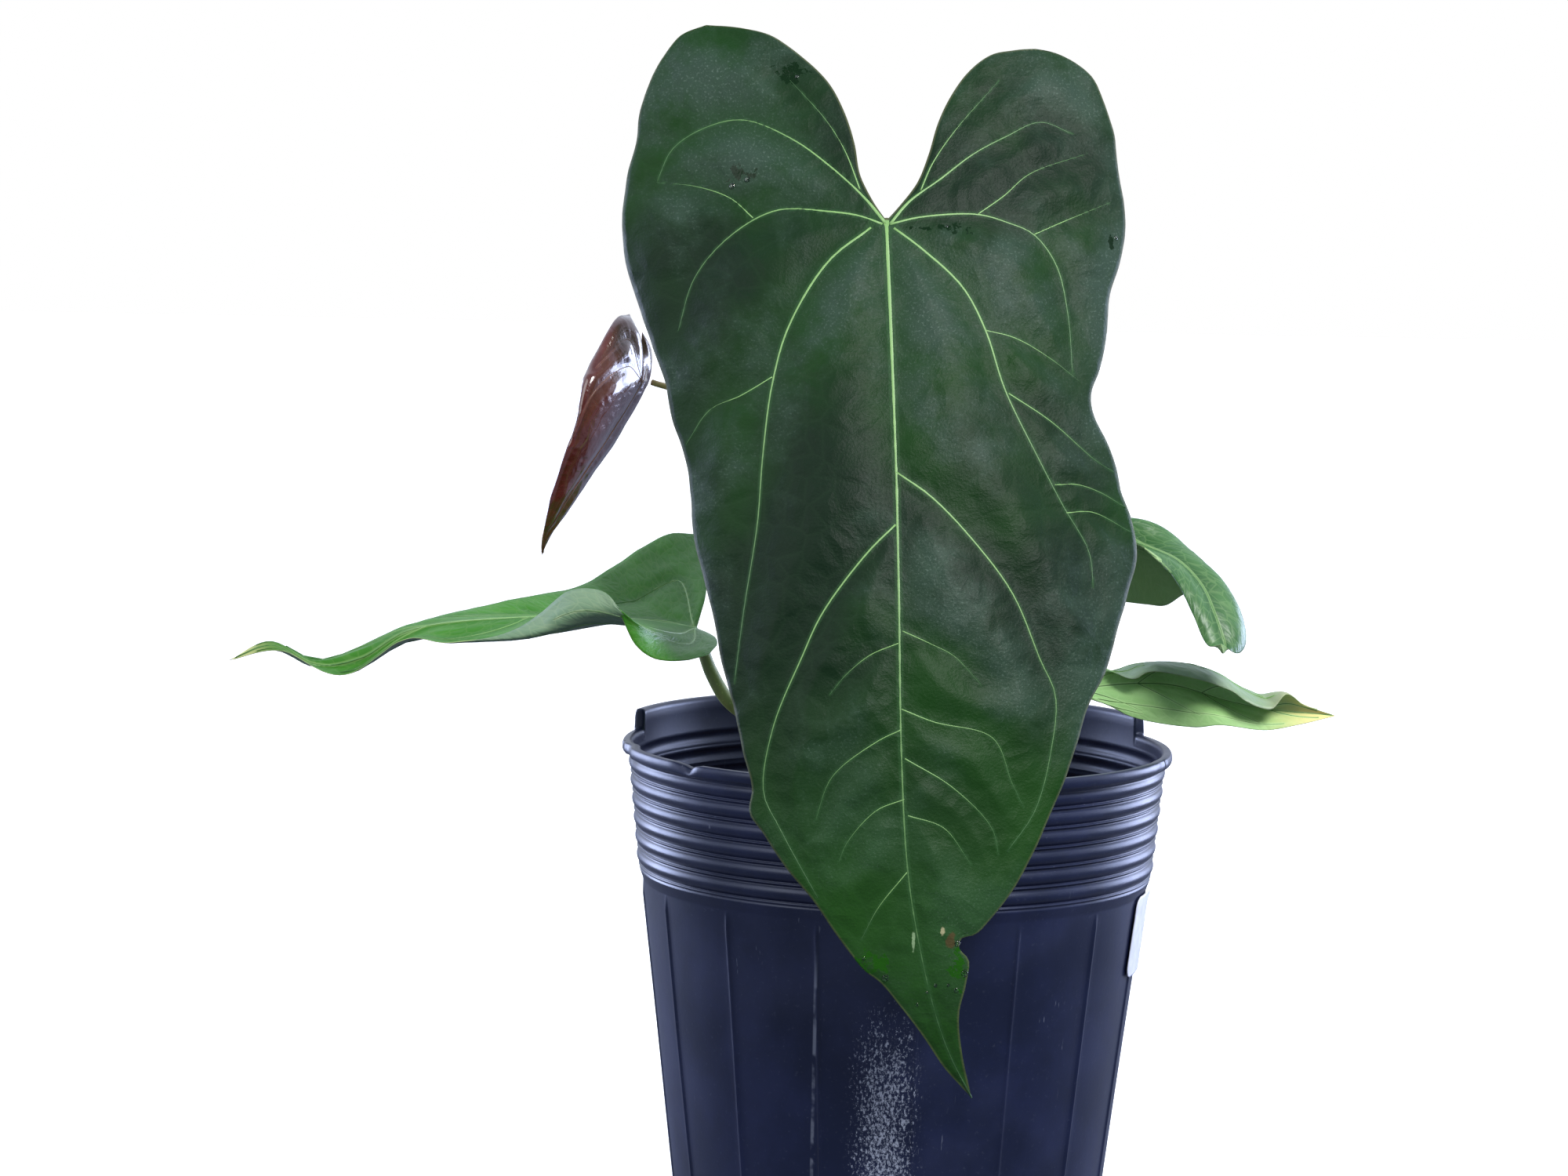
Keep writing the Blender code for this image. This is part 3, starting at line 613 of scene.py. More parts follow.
    def build_veins(self, name, material, rise, sides=6):
        """Every vein as a low rounded cord, sunk in the sheet and standing out on both its faces."""
        parts = []
        reach = []
        for line, half_width in self.veins:
            nearest = ((line[:, None] - self.points[None]) ** 2).sum(axis=2).argmin(axis=1)
            normals = point_normals(self.points, self.triangles)[nearest]
            points, triangles = sweep(line, half_width, sides * 2, np.cross(
                normals, np.gradient(line, axis=0)), flatten=1.0)
            centre = ((points[:, None] - line[None]) ** 2).sum(axis=2).argmin(axis=1)
            offset = points - line[centre]
            normal = normals[centre]
            height = (offset * normal).sum(axis=1)[:, None] * normal
            depth = rise / np.maximum(half_width[centre], 0.05)
            points = line[centre] + (offset - height) + height * depth[:, None]
            parts.append((points, triangles))
            reach.append(ease(0.15, 1.0, centre / (len(line) - 1.0)))
        points, triangles = joined(parts)
        return make_piece(name, points, triangles, [material], None,
                          {"reach": np.concatenate(reach)})


# The large blade --------------------------------------------------------------------------------

MAIN_ATTACHMENT = np.array([-6.7, -25.0, 301.5])

MAIN_MIDRIB = [(0, 0), (1, -20), (3, -63), (4, -94), (5, -130), (7, -160), (10, -178), (15, -198),
               (19, -209), (25, -221)]
MAIN_LEFT_SINUS = [(-49, 52), (-38, 51), (-31, 49), (-23, 43.5), (-16, 37), (-11.5, 29), (-8.5, 20),
                   (-7, 12), (-3.5, 5), (0, 0)]
MAIN_RIGHT_SINUS = [(40, 47), (34, 46.5), (28, 45), (22, 40.5), (17, 33.5), (13.5, 26), (11, 17.5),
                    (8, 10), (3.5, 4), (0, 0)]
MAIN_LEFT_MARGIN = [(-49, 52), (-56, 49), (-61, 42.5), (-64, 36), (-66.5, 27), (-67, 20), (-69, 12),
                    (-70, 4), (-70, -4), (-68.5, -14), (-64.5, -25), (-61, -34), (-57, -44),
                    (-55, -53), (-51.5, -62), (-49.5, -72), (-48.5, -82), (-46, -91), (-43, -101),
                    (-40.5, -113), (-37, -124), (-34.5, -134), (-32, -143), (-32.5, -149),
                    (-29, -154), (-24, -161), (-16, -170), (-11, -177), (-6, -183.5), (-3, -187),
                    (1, -190), (6, -196), (12, -204), (18, -213)]
MAIN_RIGHT_MARGIN = [(40, 47), (46, 46), (52, 43), (56, 39), (59, 32), (61.5, 24), (62.5, 14),
                     (64, 5), (64, -3), (62.5, -10), (59.5, -19), (58.5, -29), (56.5, -38),
                     (54, -44), (54.5, -49), (58, -56), (60.5, -62), (62, -69), (65, -77),
                     (66, -85), (63.5, -94), (60.5, -103), (57.5, -113), (53, -121), (50, -130),
                     (46.5, -140), (43, -148), (38.5, -158), (33.5, -167), (28, -174),
                     (24.5, -177.5), (21, -178.5), (20.5, -181), (23, -184), (22.5, -190),
                     (21, -198), (22, -208)]

# Each vein runs from its root on the midrib or a larger vein out to the margin: its control
# points, and its full width at the root and at the end.
MAIN_VEINS = [
    (MAIN_MIDRIB, 2.1, 0.7),
    ([(0, -1), (-6, 6), (-15, 14), (-25, 21), (-38, 26), (-48, 24), (-57, 18), (-61, 9)], 1.3, 0.5),
    ([(-7, 8), (-11, 18), (-16, 26), (-26, 37)], 0.7, 0.3),
    ([(-1, -1), (-7, 1), (-15, 2), (-29, 2), (-41, -5), (-50, -16), (-54, -30)], 1.3, 0.5),
    ([(-35, 0), (-41, 5), (-50, 8), (-61, 9)], 0.8, 0.3),
    ([(-4, -2), (-15, -11), (-25, -28), (-29, -43), (-31, -61), (-32, -78), (-35, -100),
      (-37, -118)], 1.5, 0.5),
    ([(-29, -41), (-37, -46), (-45, -50), (-51, -59)], 0.8, 0.3),
    ([(1, -1), (6, 5), (14, 11), (23, 18), (32, 23), (41, 27), (50, 24)], 1.3, 0.5),
    ([(9, 8), (12, 15), (18, 24), (30, 38)], 0.7, 0.3),
    ([(1, -1), (9, 1), (24, 2), (32, 0), (39, -3), (45, -11), (48, -24), (49, -39)], 1.3, 0.5),
    ([(24, 2), (31, 7), (38, 13), (54, 19)], 0.8, 0.3),
    ([(39, -3), (48, 1), (60, 6)], 0.8, 0.3),
    ([(2, -2), (9, -7), (20, -17), (26, -28), (31, -43), (39, -59), (46, -72), (53, -84),
      (54, -93)], 1.5, 0.5),
    ([(26, -28), (34, -30), (43, -35), (51, -41)], 0.8, 0.3),
    ([(32, -44), (43, -51), (55, -61), (60, -64)], 0.8, 0.3),
    ([(44, -67), (50, -67), (56, -69), (63, -73)], 0.7, 0.3),
    ([(47, -74), (54, -74), (64, -79)], 0.7, 0.3),
    ([(3, -64), (12, -70), (23, -81), (33, -94), (40, -110), (44, -119), (43, -132), (39, -147),
      (32, -157)], 1.2, 0.4),
    ([(3, -77), (-4, -84), (-15, -99), (-20, -110), (-27, -128), (-29, -144), (-25, -152),
      (-15, -169)], 1.2, 0.4),
    ([(4, -106), (-3, -109), (-9, -114), (-13, -119)], 0.6, 0.25),
    ([(5, -127), (-1, -130), (-12, -139), (-16, -150)], 0.6, 0.25),
    ([(6, -144), (-1, -147), (-8, -155), (-10, -160)], 0.6, 0.25),
    ([(7, -162), (0, -171), (-4, -179)], 0.6, 0.25),
    ([(5, -103), (12, -106), (18, -109), (25, -116)], 0.6, 0.25),
    ([(5, -122), (13, -125), (28, -129), (33, -140), (36, -146)], 0.7, 0.25),
    ([(6, -134), (18, -141), (28, -151), (30, -158)], 0.7, 0.25),
    ([(7, -148), (16, -151), (23, -160)], 0.6, 0.25),
]


def main_depth(flat):
    """Where the flat (across, up) points lie: depth = m(up) + k(up, side)*(across/65)^2."""
    across = flat[:, 0]
    up = flat[:, 1]
    middle = smooth_through([-240.0, -190.0, -140.0, -70.0, 0.0, 60.0],
                            [-74.0, -89.0, -86.0, -62.0, -25.0, 10.0], up)
    spans = [-240.0, -200.0, -120.0, -40.0, 20.0, 60.0]
    left = smooth_through(spans, [4.0, 16.0, 34.0, 26.0, 14.0, 10.0], up)
    right = smooth_through(spans, [4.0, 10.0, 18.0, 20.0, 14.0, 10.0], up)
    back = np.where(across < 0, left, right) * (across / 65.0) ** 2
    x, _, z = MAIN_ATTACHMENT
    return np.column_stack([x + across, middle + back, z + up])


def main_blade():
    """The large blade's sheet and veins."""
    level = [(0.0, 0.0, 0.0), (0.5, 0.0, 0.0), (1.0, 0.0, 0.0)]
    halves = [half_blade(margin, sinus, MAIN_MIDRIB, level, 58, 150, 44)
              for margin, sinus in ((MAIN_LEFT_MARGIN, MAIN_LEFT_SINUS),
                                    (MAIN_RIGHT_MARGIN, MAIN_RIGHT_SINUS))]
    blade = Blade("leaf_blade_main", halves, main_depth).turn_to((0.0, -1.0, 0.0))
    for control, root, end in MAIN_VEINS:
        blade.flat_vein(control, 0.85 * root, 0.7 * end)
    return blade


def build_main_leaf(settings):
    """The large velvet blade and its raised veins."""
    face = velvet_face(settings)
    rim = edge_material("main leaf edge", (0.3, 0.27, 0.15))
    back = leaf_material("main leaf underside", (0.16, 0.26, 0.12), (0.2, 0.33, 0.16),
                         (0.33, 0.42, 0.22), roughness=0.6, thread=0.5, relief=0.6)
    blade = main_blade()
    piece = blade.build("main_leaf", face, rim, back, settings.thickness / MM, settings.swell / MM, 8.0,
                        18.0, 3, 0.35)
    hand_over(piece, "velvet_green", "leaf_blade_main")
    cords = vein_material("main leaf veins", settings.vein, settings.vein_end, 0.5)
    hand_over(blade.build_veins("main_leaf_veins", cords, settings.vein_rise / MM), "velvet_green")
    build_water_drops(blade)


# Wet patches and scars on the large blade: centre and half sizes, across and up.
WET_PATCHES = [((0, -185), (4.5, 3.5)), ((20.5, -186), (3.0, 7.0)), ((-38, 11), (4.5, 3.0)),
               ((-26, 39), (6.0, 3.5)), ((18, -2), (5.0, 2.2)), ((9, -2), (5.0, 0.8)),
               ((-3, -184), (3.5, 3.0)), ((60, -4), (1.2, 3.5))]
SCARS = [((18.2, -179), (1.6, 2.2), (0.07, 0.05, 0.02)), ((9, -179.5), (0.5, 3.0), (0.2, 0.3, 0.16)),
         ((16.2, -176.5), (0.7, 1.6), (0.3, 0.28, 0.16))]
WATER_DROPS = [(2, -188, 0.9), (20, -179, 0.7), (22, -187, 0.9), (20, -191, 0.6), (18, -191, 0.45),
               (15, -191, 0.5), (10, -195, 0.5), (-37, 10, 0.8), (-41, 8, 0.9), (-24, 38, 0.6),
               (16, -2, 0.5), (13, -193, 0.35), (-3, -184, 0.5), (61, -4, 0.6)]


def build_water_drops(blade):
    """Clear drops: flattened balls, r across and 0.45*r high, half sunk in the blade's face."""
    parts = []
    angle = np.linspace(0.0, math.pi, 13)
    for across, up, radius in WATER_DROPS:
        spot = np.linalg.norm(blade.flat[:, :2] - (across, up), axis=1).argmin()
        normal = blade.surface_normals[spot]
        middle = blade.surface[spot] + (0.35 - 0.05 * radius) * normal
        centres = middle - np.cos(angle)[:, None] * 0.45 * radius * normal
        rings = np.maximum(radius * np.sin(angle), 0.01)
        parts.append(sweep(centres, rings, 20, np.array([0.0, 0.0, 1.0])))
    points, triangles = joined(parts)
    material, recipe, shader, where = new_material(
        "clear water", 0.03, Transmission_Weight=1.0, IOR=1.33, Coat_Weight=0.5)
    swirl = recipe.noise(where, 900.0, 2.0)
    recipe.feed(shader.inputs["Base Color"], recipe.blend(swirl, (0.9, 0.97, 0.9), (0.97, 1.0, 0.97)))
    hand_over(make_piece("water_drops", points, triangles, [material]), "velvet_green")


def velvet_face(settings):
    """Dark velvet: deep green beside the veins, with a grey-green painted sheen on the swells and fine
    painted glints.
    """
    material, recipe, shader, _ = new_material(
        "main leaf velvet", 0.55, Sheen_Weight=0.06, Sheen_Roughness=0.4,
        Sheen_Tint=(0.75, 0.9, 0.95, 1.0), Specular_IOR_Level=0.12)
    flat = recipe.field("flat", "Vector")
    tissue = place_group(recipe, leaf_tissue_group(), Flat=flat, Net_Scale=150.0)
    distance = recipe.field("vein")
    # Painted sheen: the grey-green nap colour lies on the swells between the veins, where the velvet catches
    # the light, broken up by cloud noise.
    swell = recipe.fade(distance, 0.2, 9.0)
    cloud = recipe.fade(recipe.noise(flat, 22.0, 6.0, 0.62), 0.44, 0.62)
    painted_sheen = recipe.maths("MULTIPLY", recipe.maths("ADD", recipe.maths("MULTIPLY", swell, 0.6), 0.4), cloud)
    deep = recipe.blend(recipe.fade(recipe.noise(flat, 17.0, 3.0), 0.38, 0.62), (0.002, 0.012, 0.004),
                        settings.deep)
    base = recipe.blend(painted_sheen, deep, settings.painted_sheen)
    # Painted glints: fine pale grey-green specks where the velvet catches the light, strongest in the painted
    # sheen.
    painted_glint = recipe.fade(recipe.noise(flat, 1500.0, 2.0, 0.7), 0.54, 0.7, 0.0, 0.6)
    base = recipe.blend(recipe.maths("MULTIPLY", painted_glint, recipe.maths("ADD", painted_sheen, 0.04)), base,
                        (0.08, 0.12, 0.095))
    low = recipe.node("ShaderNodeSeparateXYZ", Vector=flat).outputs["Y"]
    fresh = recipe.fade(low, -0.10, -0.19)
    base = recipe.blend(recipe.maths("MULTIPLY", fresh, 0.6), base, (0.018, 0.075, 0.010))
    base = recipe.blend(recipe.maths("MULTIPLY", tissue["Thread"], 0.04), base, (0.04, 0.09, 0.04))
    line = recipe.fade(distance, 0.1, 0.6, 0.3, 0.0)
    base = recipe.blend(line, base, (0.03, 0.09, 0.03))
    border = recipe.fade(recipe.field("edge"), 0.2, 0.7, 0.45, 0.0)
    base = recipe.blend(border, base, (0.12, 0.13, 0.06))
    ragged = recipe.noise(flat, 340.0, 4.0, 0.65)
    wet = 0.0
    for centre, sizes in WET_PATCHES:
        near = recipe.maths("ADD", recipe.spot(flat, centre, sizes), recipe.maths("MULTIPLY", ragged, 4.0))
        wet = recipe.maths("ADD", wet, recipe.fade(near, 2.45, 2.55, 1.0, 0.0), True)
    base = recipe.blend(wet, base, recipe.blend(fresh, (0.003, 0.014, 0.004), (0.012, 0.075, 0.004)))
    for centre, sizes, tone in SCARS:
        near = recipe.maths("ADD", recipe.spot(flat, centre, sizes), recipe.fade(ragged, 0.3, 0.7, -0.3, 0.3))
        base = recipe.blend(recipe.fade(near, 0.6, 1.0, 0.9, 0.0), base, tone)
    recipe.feed(shader.inputs["Base Color"], base)
    dry = recipe.maths("SUBTRACT", 0.6, recipe.maths("MULTIPLY", tissue["Grain"], 0.2))
    recipe.feed(shader.inputs["Roughness"], recipe.fade(wet, 0.0, 1.0, dry, 0.12))
    recipe.feed(shader.inputs["Normal"], recipe.relief(tissue["Height"], 0.55, 0.0005))
    return material


def edge_material(name, tone):
    """The thin line of a blade's cut edge."""
    material, recipe, shader, where = new_material(name, 0.55)
    patch = recipe.fade(recipe.noise(where, 120.0), 0.35, 0.65)
    dark = tuple(0.45 * value for value in tone)
    recipe.feed(shader.inputs["Base Color"], recipe.blend(patch, dark, tone))
    return material


# The smaller blades -----------------------------------------------------------------------------


def left_blade():
    """The low blade reaching to -X: its back half cups up and its near edge folds over."""
    midrib = [(-55, -5, 191), (-73, -14, 194), (-99, -24, 195), (-130, -35, 192), (-142, -39, 185),
              (-154, -41, 183), (-165, -41, 188), (-176, -41, 184)]
    back = ([(-57, 38, 213), (-64, 38, 213), (-72, 34, 209), (-80, 25, 204), (-88, 14, 200),
             (-105, -8, 198), (-128, -22, 193), (-143, -32, 187), (-154, -38, 184),
             (-166, -39, 189)],
            [(-57, 38, 213), (-54, 26, 207), (-53, 8, 199), (-55, -5, 191)],
            [(0.0, 0, 0, -1), (0.3, 0, 1, -4), (0.7, 0, 0, 1), (1.0, 0, 0, 0)])
    front = ([(-51, -34, 187), (-57, -40, 186), (-65, -45, 187), (-70, -48, 191), (-76, -49, 203),
              (-81, -45, 205), (-88, -42, 204), (-95, -41, 198), (-103, -42, 193),
              (-119, -44, 190), (-129, -46, 191), (-146, -45, 181), (-163, -43, 187)],
             [(-51, -34, 187), (-49, -24, 189), (-51, -12, 190), (-55, -5, 191)],
             [(0.0, 0, 0, 0), (0.15, 0, -4, -1), (0.28, 0, -18, -3), (0.42, 0, -14, -3),
              (0.55, 0, -3, -2), (1.0, 0, 0, 0)])
    halves = small_halves(midrib, (back, front))
    blade = Blade("leaf_blade_left", halves).turn_to((0.0, -0.4, 1.0))
    add_half_veins(blade, ((0, 0.05, 0.35), (0, 0.3, 0.9), (1, 0.08, 0.4), (1, 0.25, 0.8)), laterals=4)
    return blade


def young_blade():
    """The newest blade, hanging folded along its midrib."""
    midrib = [(-71, 5, 257), (-78, 0, 245), (-90, -7, 226), (-94, -8, 219), (-96, -8, 216),
              (-97, -5, 210)]
    near = ([(-75, 8, 275), (-78, 2, 274), (-81, -4, 269), (-86, -12, 258), (-88, -15, 247),
             (-94, -13, 227), (-97, -8, 213)],
            [(-75, 8, 275), (-72, 4, 269), (-71, 4, 263), (-71, 5, 257)],
            [(0.0, 0, 0, 0), (0.3, -1, -8, 1), (0.6, -1, -5, 1), (1.0, 0, 0, 0)])
    far = ([(-72, 12, 270), (-69, 14, 265), (-70, 16, 258), (-79, 16, 243), (-89, 8, 227),
            (-96, -5, 213)],
           [(-72, 12, 270), (-72, 10, 265), (-71, 7, 260), (-71, 5, 257)],
           [(0.0, 0, 0, 0), (0.4, 1, 1, 0), (1.0, 0, 0, 0)])
    blade = Blade("leaf_blade_young", small_halves(midrib, (near, far))).turn_to((0.0, -1.0, 0.0))
    add_half_veins(blade, ((0, 0.04, 0.3), (0, 0.22, 0.55), (1, 0.1, 0.4)), 0.7, 0.45)
    return blade


def right_upper_blade():
    """The arching blade at +X: its far side hangs down and its tip rolls forward."""
    midrib = [(45, 4, 223), (56, 3, 221), (64, 0, 216), (74, -8, 212), (80, -15, 206),
              (83, -22, 199), (85.5, -27.5, 190.5), (84.5, -30, 189.5), (84, -31, 192)]
    near = ([(58, -6, 220), (64, -6, 216), (70, -11, 212), (74, -19, 206), (77, -24, 199),
             (81, -28, 191)],
            [(58, -6, 220), (52, -3, 222), (48, 1, 223), (45, 4, 223)],
            [(0.0, 0, 0, 0), (0.5, -1, -2, 1), (1.0, 0, 0, 0)])
    far = ([(58, 12, 199), (68, 11, 198), (73, 9, 198), (79, 5, 202), (84, -2, 199),
            (89, -10, 196), (92, -18, 192), (89, -26, 189)],
           [(58, 12, 199), (51, 13, 203), (47, 9, 213), (45, 4, 223)],
           [(0.0, 0, 0, 0), (0.25, 4, 0, 7), (0.6, 3, -1, 4), (1.0, 0, 0, 0)])
    blade = Blade("leaf_blade_right_upper", small_halves(midrib, (near, far)))
    blade.turn_to((1.0, -0.2, 0.6))
    add_half_veins(blade, ((0, 0.1, 0.5), (1, 0.1, 0.4)), 0.9, 0.3)
    return blade


def right_lower_blade():
    """The low blade at +X: its underside faces forward and its top edge curls over."""
    midrib = [(36, 13, 172), (47, 11, 174), (66, 4, 177), (76, 0, 177), (88, -4, 174),
              (100, -7, 172), (118, -10, 171)]
    low = ([(31, 8, 171), (44, 6, 172), (55, 5, 173), (63, -3, 169), (80, -9, 167), (87, -11, 168),
            (99, -12, 167), (109, -12, 169)],
           [(31, 8, 171), (33, 11, 171), (36, 13, 172)],
           [(0.0, 0, 0, 0), (0.5, 0, -1.5, 0), (1.0, 0, 0, 0)])
    top = ([(31, 20, 179), (45, 16, 181), (56, 8, 181), (64, -2, 179), (68, -3, 181), (81, -10, 180),
            (90, -13, 177), (93, -15, 175), (100, -15, 173), (104, -14, 177), (109, -11, 174)],
           [(31, 20, 179), (31, 17, 175), (36, 13, 172)],
           [(0.0, 0, 0, 0), (0.4, 0, 3, 3), (0.7, 0, 4, 5), (1.0, 0, 0, 0)])
    blade = Blade("leaf_blade_right_lower", small_halves(midrib, (low, top)))
    blade.turn_to((0.0, 1.0, 0.3))
    add_half_veins(blade, ((0, 0.1, 0.45), (0, 0.3, 0.85), (1, 0.1, 0.45), (1, 0.3, 0.85)), 0.8, 0.5, 4)
    return blade


SMALL_LOBE_SECTIONS = 22
SMALL_MIDRIB_SECTIONS = 80
SMALL_ACROSS = 24
SMALL_LOBE_SHARE = SMALL_LOBE_SECTIONS / (SMALL_LOBE_SECTIONS + SMALL_MIDRIB_SECTIONS)


def small_halves(midrib, sides):
    """The two half grids of a small blade from each side's (margin, sinus, bulges)."""
    return [half_blade(margin, sinus, midrib, bulges, SMALL_LOBE_SECTIONS,
                       SMALL_MIDRIB_SECTIONS, SMALL_ACROSS)
            for margin, sinus, bulges in sides]


def add_half_veins(blade, curves, midrib=1.1, curve=0.6, laterals=0):
    """The midrib, and (half, start, end) veins that leave the joint and follow the margin."""
    root = SMALL_LOBE_SHARE
    middle = [(root, 0.0), (0.5, 0.0), (0.99, 0.0)]
    blade.half_vein(0, middle, midrib, 0.3, 60)
    for side, start, end in curves:
        control = [(root, 0.02), (0.5 * (root + start), 0.35), (0.5 * (start + end), 0.62), (end, 0.8)]
        blade.half_vein(side, control, curve, 0.15)
    for side in (0, 1):
        for step in range(laterals):
            begin = root + 0.12 + 0.66 * step / laterals
            blade.half_vein(side, [(begin, 0.0), (begin + 0.05, 0.3), (begin + 0.12, 0.7)], 0.3, 0.1)


def build_small_leaf(blade, name, slot, face, back, rim_tone, vein, thickness=0.5, quilt=0.6,
                     quilt_width=3.0, tip_length=14.0, seed=5, crumple=0.25, rise=0.38):
    """One small blade with its veins, handed over for its solid."""
    rim = edge_material(f"{name} edge", rim_tone)
    piece = blade.build(name, face, rim, back, thickness, quilt, quilt_width, tip_length, seed,
                        crumple)
    hand_over(piece, slot, blade.node)
    hand_over(blade.build_veins(f"{name}_veins", vein, rise, 4), slot)


def build_left_leaf():
    """The fresh green blade at -X."""
    face = leaf_material("left leaf face", (0.022, 0.12, 0.006), (0.04, 0.17, 0.014),
                         (0.1, 0.2, 0.05), roughness=0.4, freckles=(0.45, 0.42, 0.05),
                         tip=(0.5, 0.5, 0.22), Specular_IOR_Level=0.25)
    back = leaf_material("left leaf underside", (0.09, 0.17, 0.09), (0.14, 0.22, 0.13),
                         (0.22, 0.3, 0.16), roughness=0.55, tip=(0.5, 0.52, 0.3))
    vein = vein_material("left leaf veins", (0.15, 0.3, 0.09), (0.03, 0.12, 0.02), 0.4)
    build_small_leaf(left_blade(), "left_leaf", "fresh_green", face, back, (0.3, 0.4, 0.16), vein)


def build_young_leaf():
    """The glossy red-brown young blade."""
    face = leaf_material("young leaf face", (0.05, 0.006, 0.004), (0.085, 0.016, 0.010),
                         (0.12, 0.04, 0.03), roughness=0.22, halo=2.0, Coat_Weight=1.0,
                         Coat_Roughness=0.05, thread=0.1, relief=0.5)
    back = leaf_material("young leaf underside", (0.16, 0.05, 0.035), (0.22, 0.08, 0.06),
                         (0.35, 0.16, 0.1), roughness=0.4)
    vein = vein_material("young leaf veins", (0.2, 0.1, 0.06), (0.06, 0.016, 0.012), 0.25)
    build_small_leaf(young_blade(), "young_leaf", "young_red", face, back, (0.35, 0.14, 0.09), vein,
                     quilt=0.9, quilt_width=2.4, crumple=0.35, seed=9)


def build_right_upper_leaf():
    """The arching mid-green blade."""
    face = leaf_material("arching leaf face", (0.02, 0.09, 0.018), (0.05, 0.15, 0.04),
                         (0.2, 0.33, 0.13), roughness=0.42)
    back = leaf_material("arching leaf underside", (0.2, 0.34, 0.13), (0.27, 0.42, 0.18),
                         (0.34, 0.48, 0.22), roughness=0.6)
    vein = vein_material("arching leaf veins", (0.16, 0.3, 0.1), (0.05, 0.16, 0.035), 0.45)
    build_small_leaf(right_upper_blade(), "right_upper_leaf", "arching_green", face, back,
                     (0.28, 0.36, 0.16), vein, seed=12)


def build_right_lower_leaf():
    """The low blade that shows its pale underside."""
    face = leaf_material("low leaf face", (0.17, 0.27, 0.16), (0.27, 0.36, 0.26),
                         (0.25, 0.38, 0.18), roughness=0.45, tip=(0.5, 0.4, 0.12))
    back = leaf_material("low leaf underside", (0.28, 0.5, 0.18), (0.36, 0.6, 0.24),
                         (0.4, 0.6, 0.27), roughness=0.6, tip=(0.72, 0.6, 0.25),
                         freckles=(0.5, 0.66, 0.3))
    vein = vein_material("low leaf veins", (0.08, 0.18, 0.05), (0.16, 0.32, 0.09), 0.5)
    build_small_leaf(right_lower_blade(), "right_lower_leaf", "pale_green", face, back,
                     (0.35, 0.45, 0.2), vein, tip_length=24.0, seed=15)


# Stalks, crown and mix --------------------------------------------------------------------------

STALKS = {
    "petiole_main": ([(2.5, 3.5, 147), (2.8, 4, 151), (6, 12, 175), (8, 20, 215), (6, 20, 255),
                      (0, 8, 284), (-5.5, -13, 295.5), (-6.7, -23.7, 300.6)],
                     (2.8, 2.5, 2.2, 2.0, 2.4, 2.0)),
    "petiole_left": ([(-5.5, -2, 147), (-6.5, -2, 151), (-21, -3, 161), (-36, -4.5, 165),
                      (-45, -5, 170), (-50.7, -5, 178.5), (-54.6, -5, 189.2)],
                     (1.9, 1.8, 1.8, 1.7, 1.9, 1.4)),
    "petiole_young": ([(-4.5, 4.5, 147), (-5, 5, 151), (-12, 14, 175), (-24, 20, 210),
                       (-42, 20, 238), (-58, 11, 253), (-68.6, 5.8, 256.8)],
                      (1.4, 1.2, 1.1, 1.0, 1.1, 0.8)),
    "petiole_right_upper": ([(1.5, -6, 147), (2, -6, 151), (12, -4, 173), (23, 2, 196),
                             (34, 6, 212), (43.2, 4.8, 221.4)],
                            (1.7, 1.6, 1.6, 1.8, 1.2)),
    "petiole_right_lower": ([(7, -1, 147), (7.8, 0, 151), (13, 4, 156.5), (23, 10, 161.5),
                             (32, 14, 165), (35.4, 13.4, 170.4)],
                            (1.7, 1.6, 1.6, 1.8, 1.2)),
}
STALK_RINGS = 120


def build_stalks():
    """The leaf stalks: faintly ridged tubes with a swollen, darker joint below each blade."""
    green = stalk_material("green stalk", (0.30, 0.36, 0.12), (0.19, 0.25, 0.08), (0.08, 0.09, 0.04))
    red = stalk_material("red stalk", (0.5, 0.28, 0.16), (0.36, 0.17, 0.09), (0.4, 0.28, 0.12))
    for node, (route, widths) in STALKS.items():
        centres = rail(route, STALK_RINGS)
        share = np.linspace(0.0, 1.0, STALK_RINGS)
        radii = smooth_through(np.linspace(0, 1, len(widths)), widths, share)
        radii = radii * (1.0 + 0.03 * ripple(centres, 21, 9.0, 2))
        points, triangles = sweep(centres, radii, 20, (0.31, 0.95, 0.02), lobes=5, lobe_depth=0.03)
        nearest = ((points[:, None] - centres[None]) ** 2).sum(axis=2).argmin(axis=1)
        joint = ease(0.9, 0.97, share)[nearest]
        material = red if node == "petiole_young" else green
        piece = make_piece(node.replace("petiole", "stalk"), points, triangles, [material], None,
                           {"joint": joint})
        hand_over(piece, "petiole_red" if material is red else "petiole_green", node)


def stalk_material(name, light, dark, joint):
    """Satin skin with long faint streaks, and a darker joint at the top."""
    material, recipe, shader, where = new_material(name, 0.42, Specular_IOR_Level=0.5)
    streak = recipe.noise(where, 260.0, 3.0, 0.6, (1.0, 1.0, 0.12))
    speck = recipe.fade(recipe.cells(where, 700.0, "F1"), 0.12, 0.2, 0.5, 0.0)
    base = recipe.blend(recipe.fade(streak, 0.35, 0.65), dark, light)
    base = recipe.blend(speck, base, tuple(1.5 * value for value in light))
    base = recipe.blend(recipe.field("joint"), base, joint)
    recipe.finish(shader, base, streak, 0.3, 0.0003)
    return material


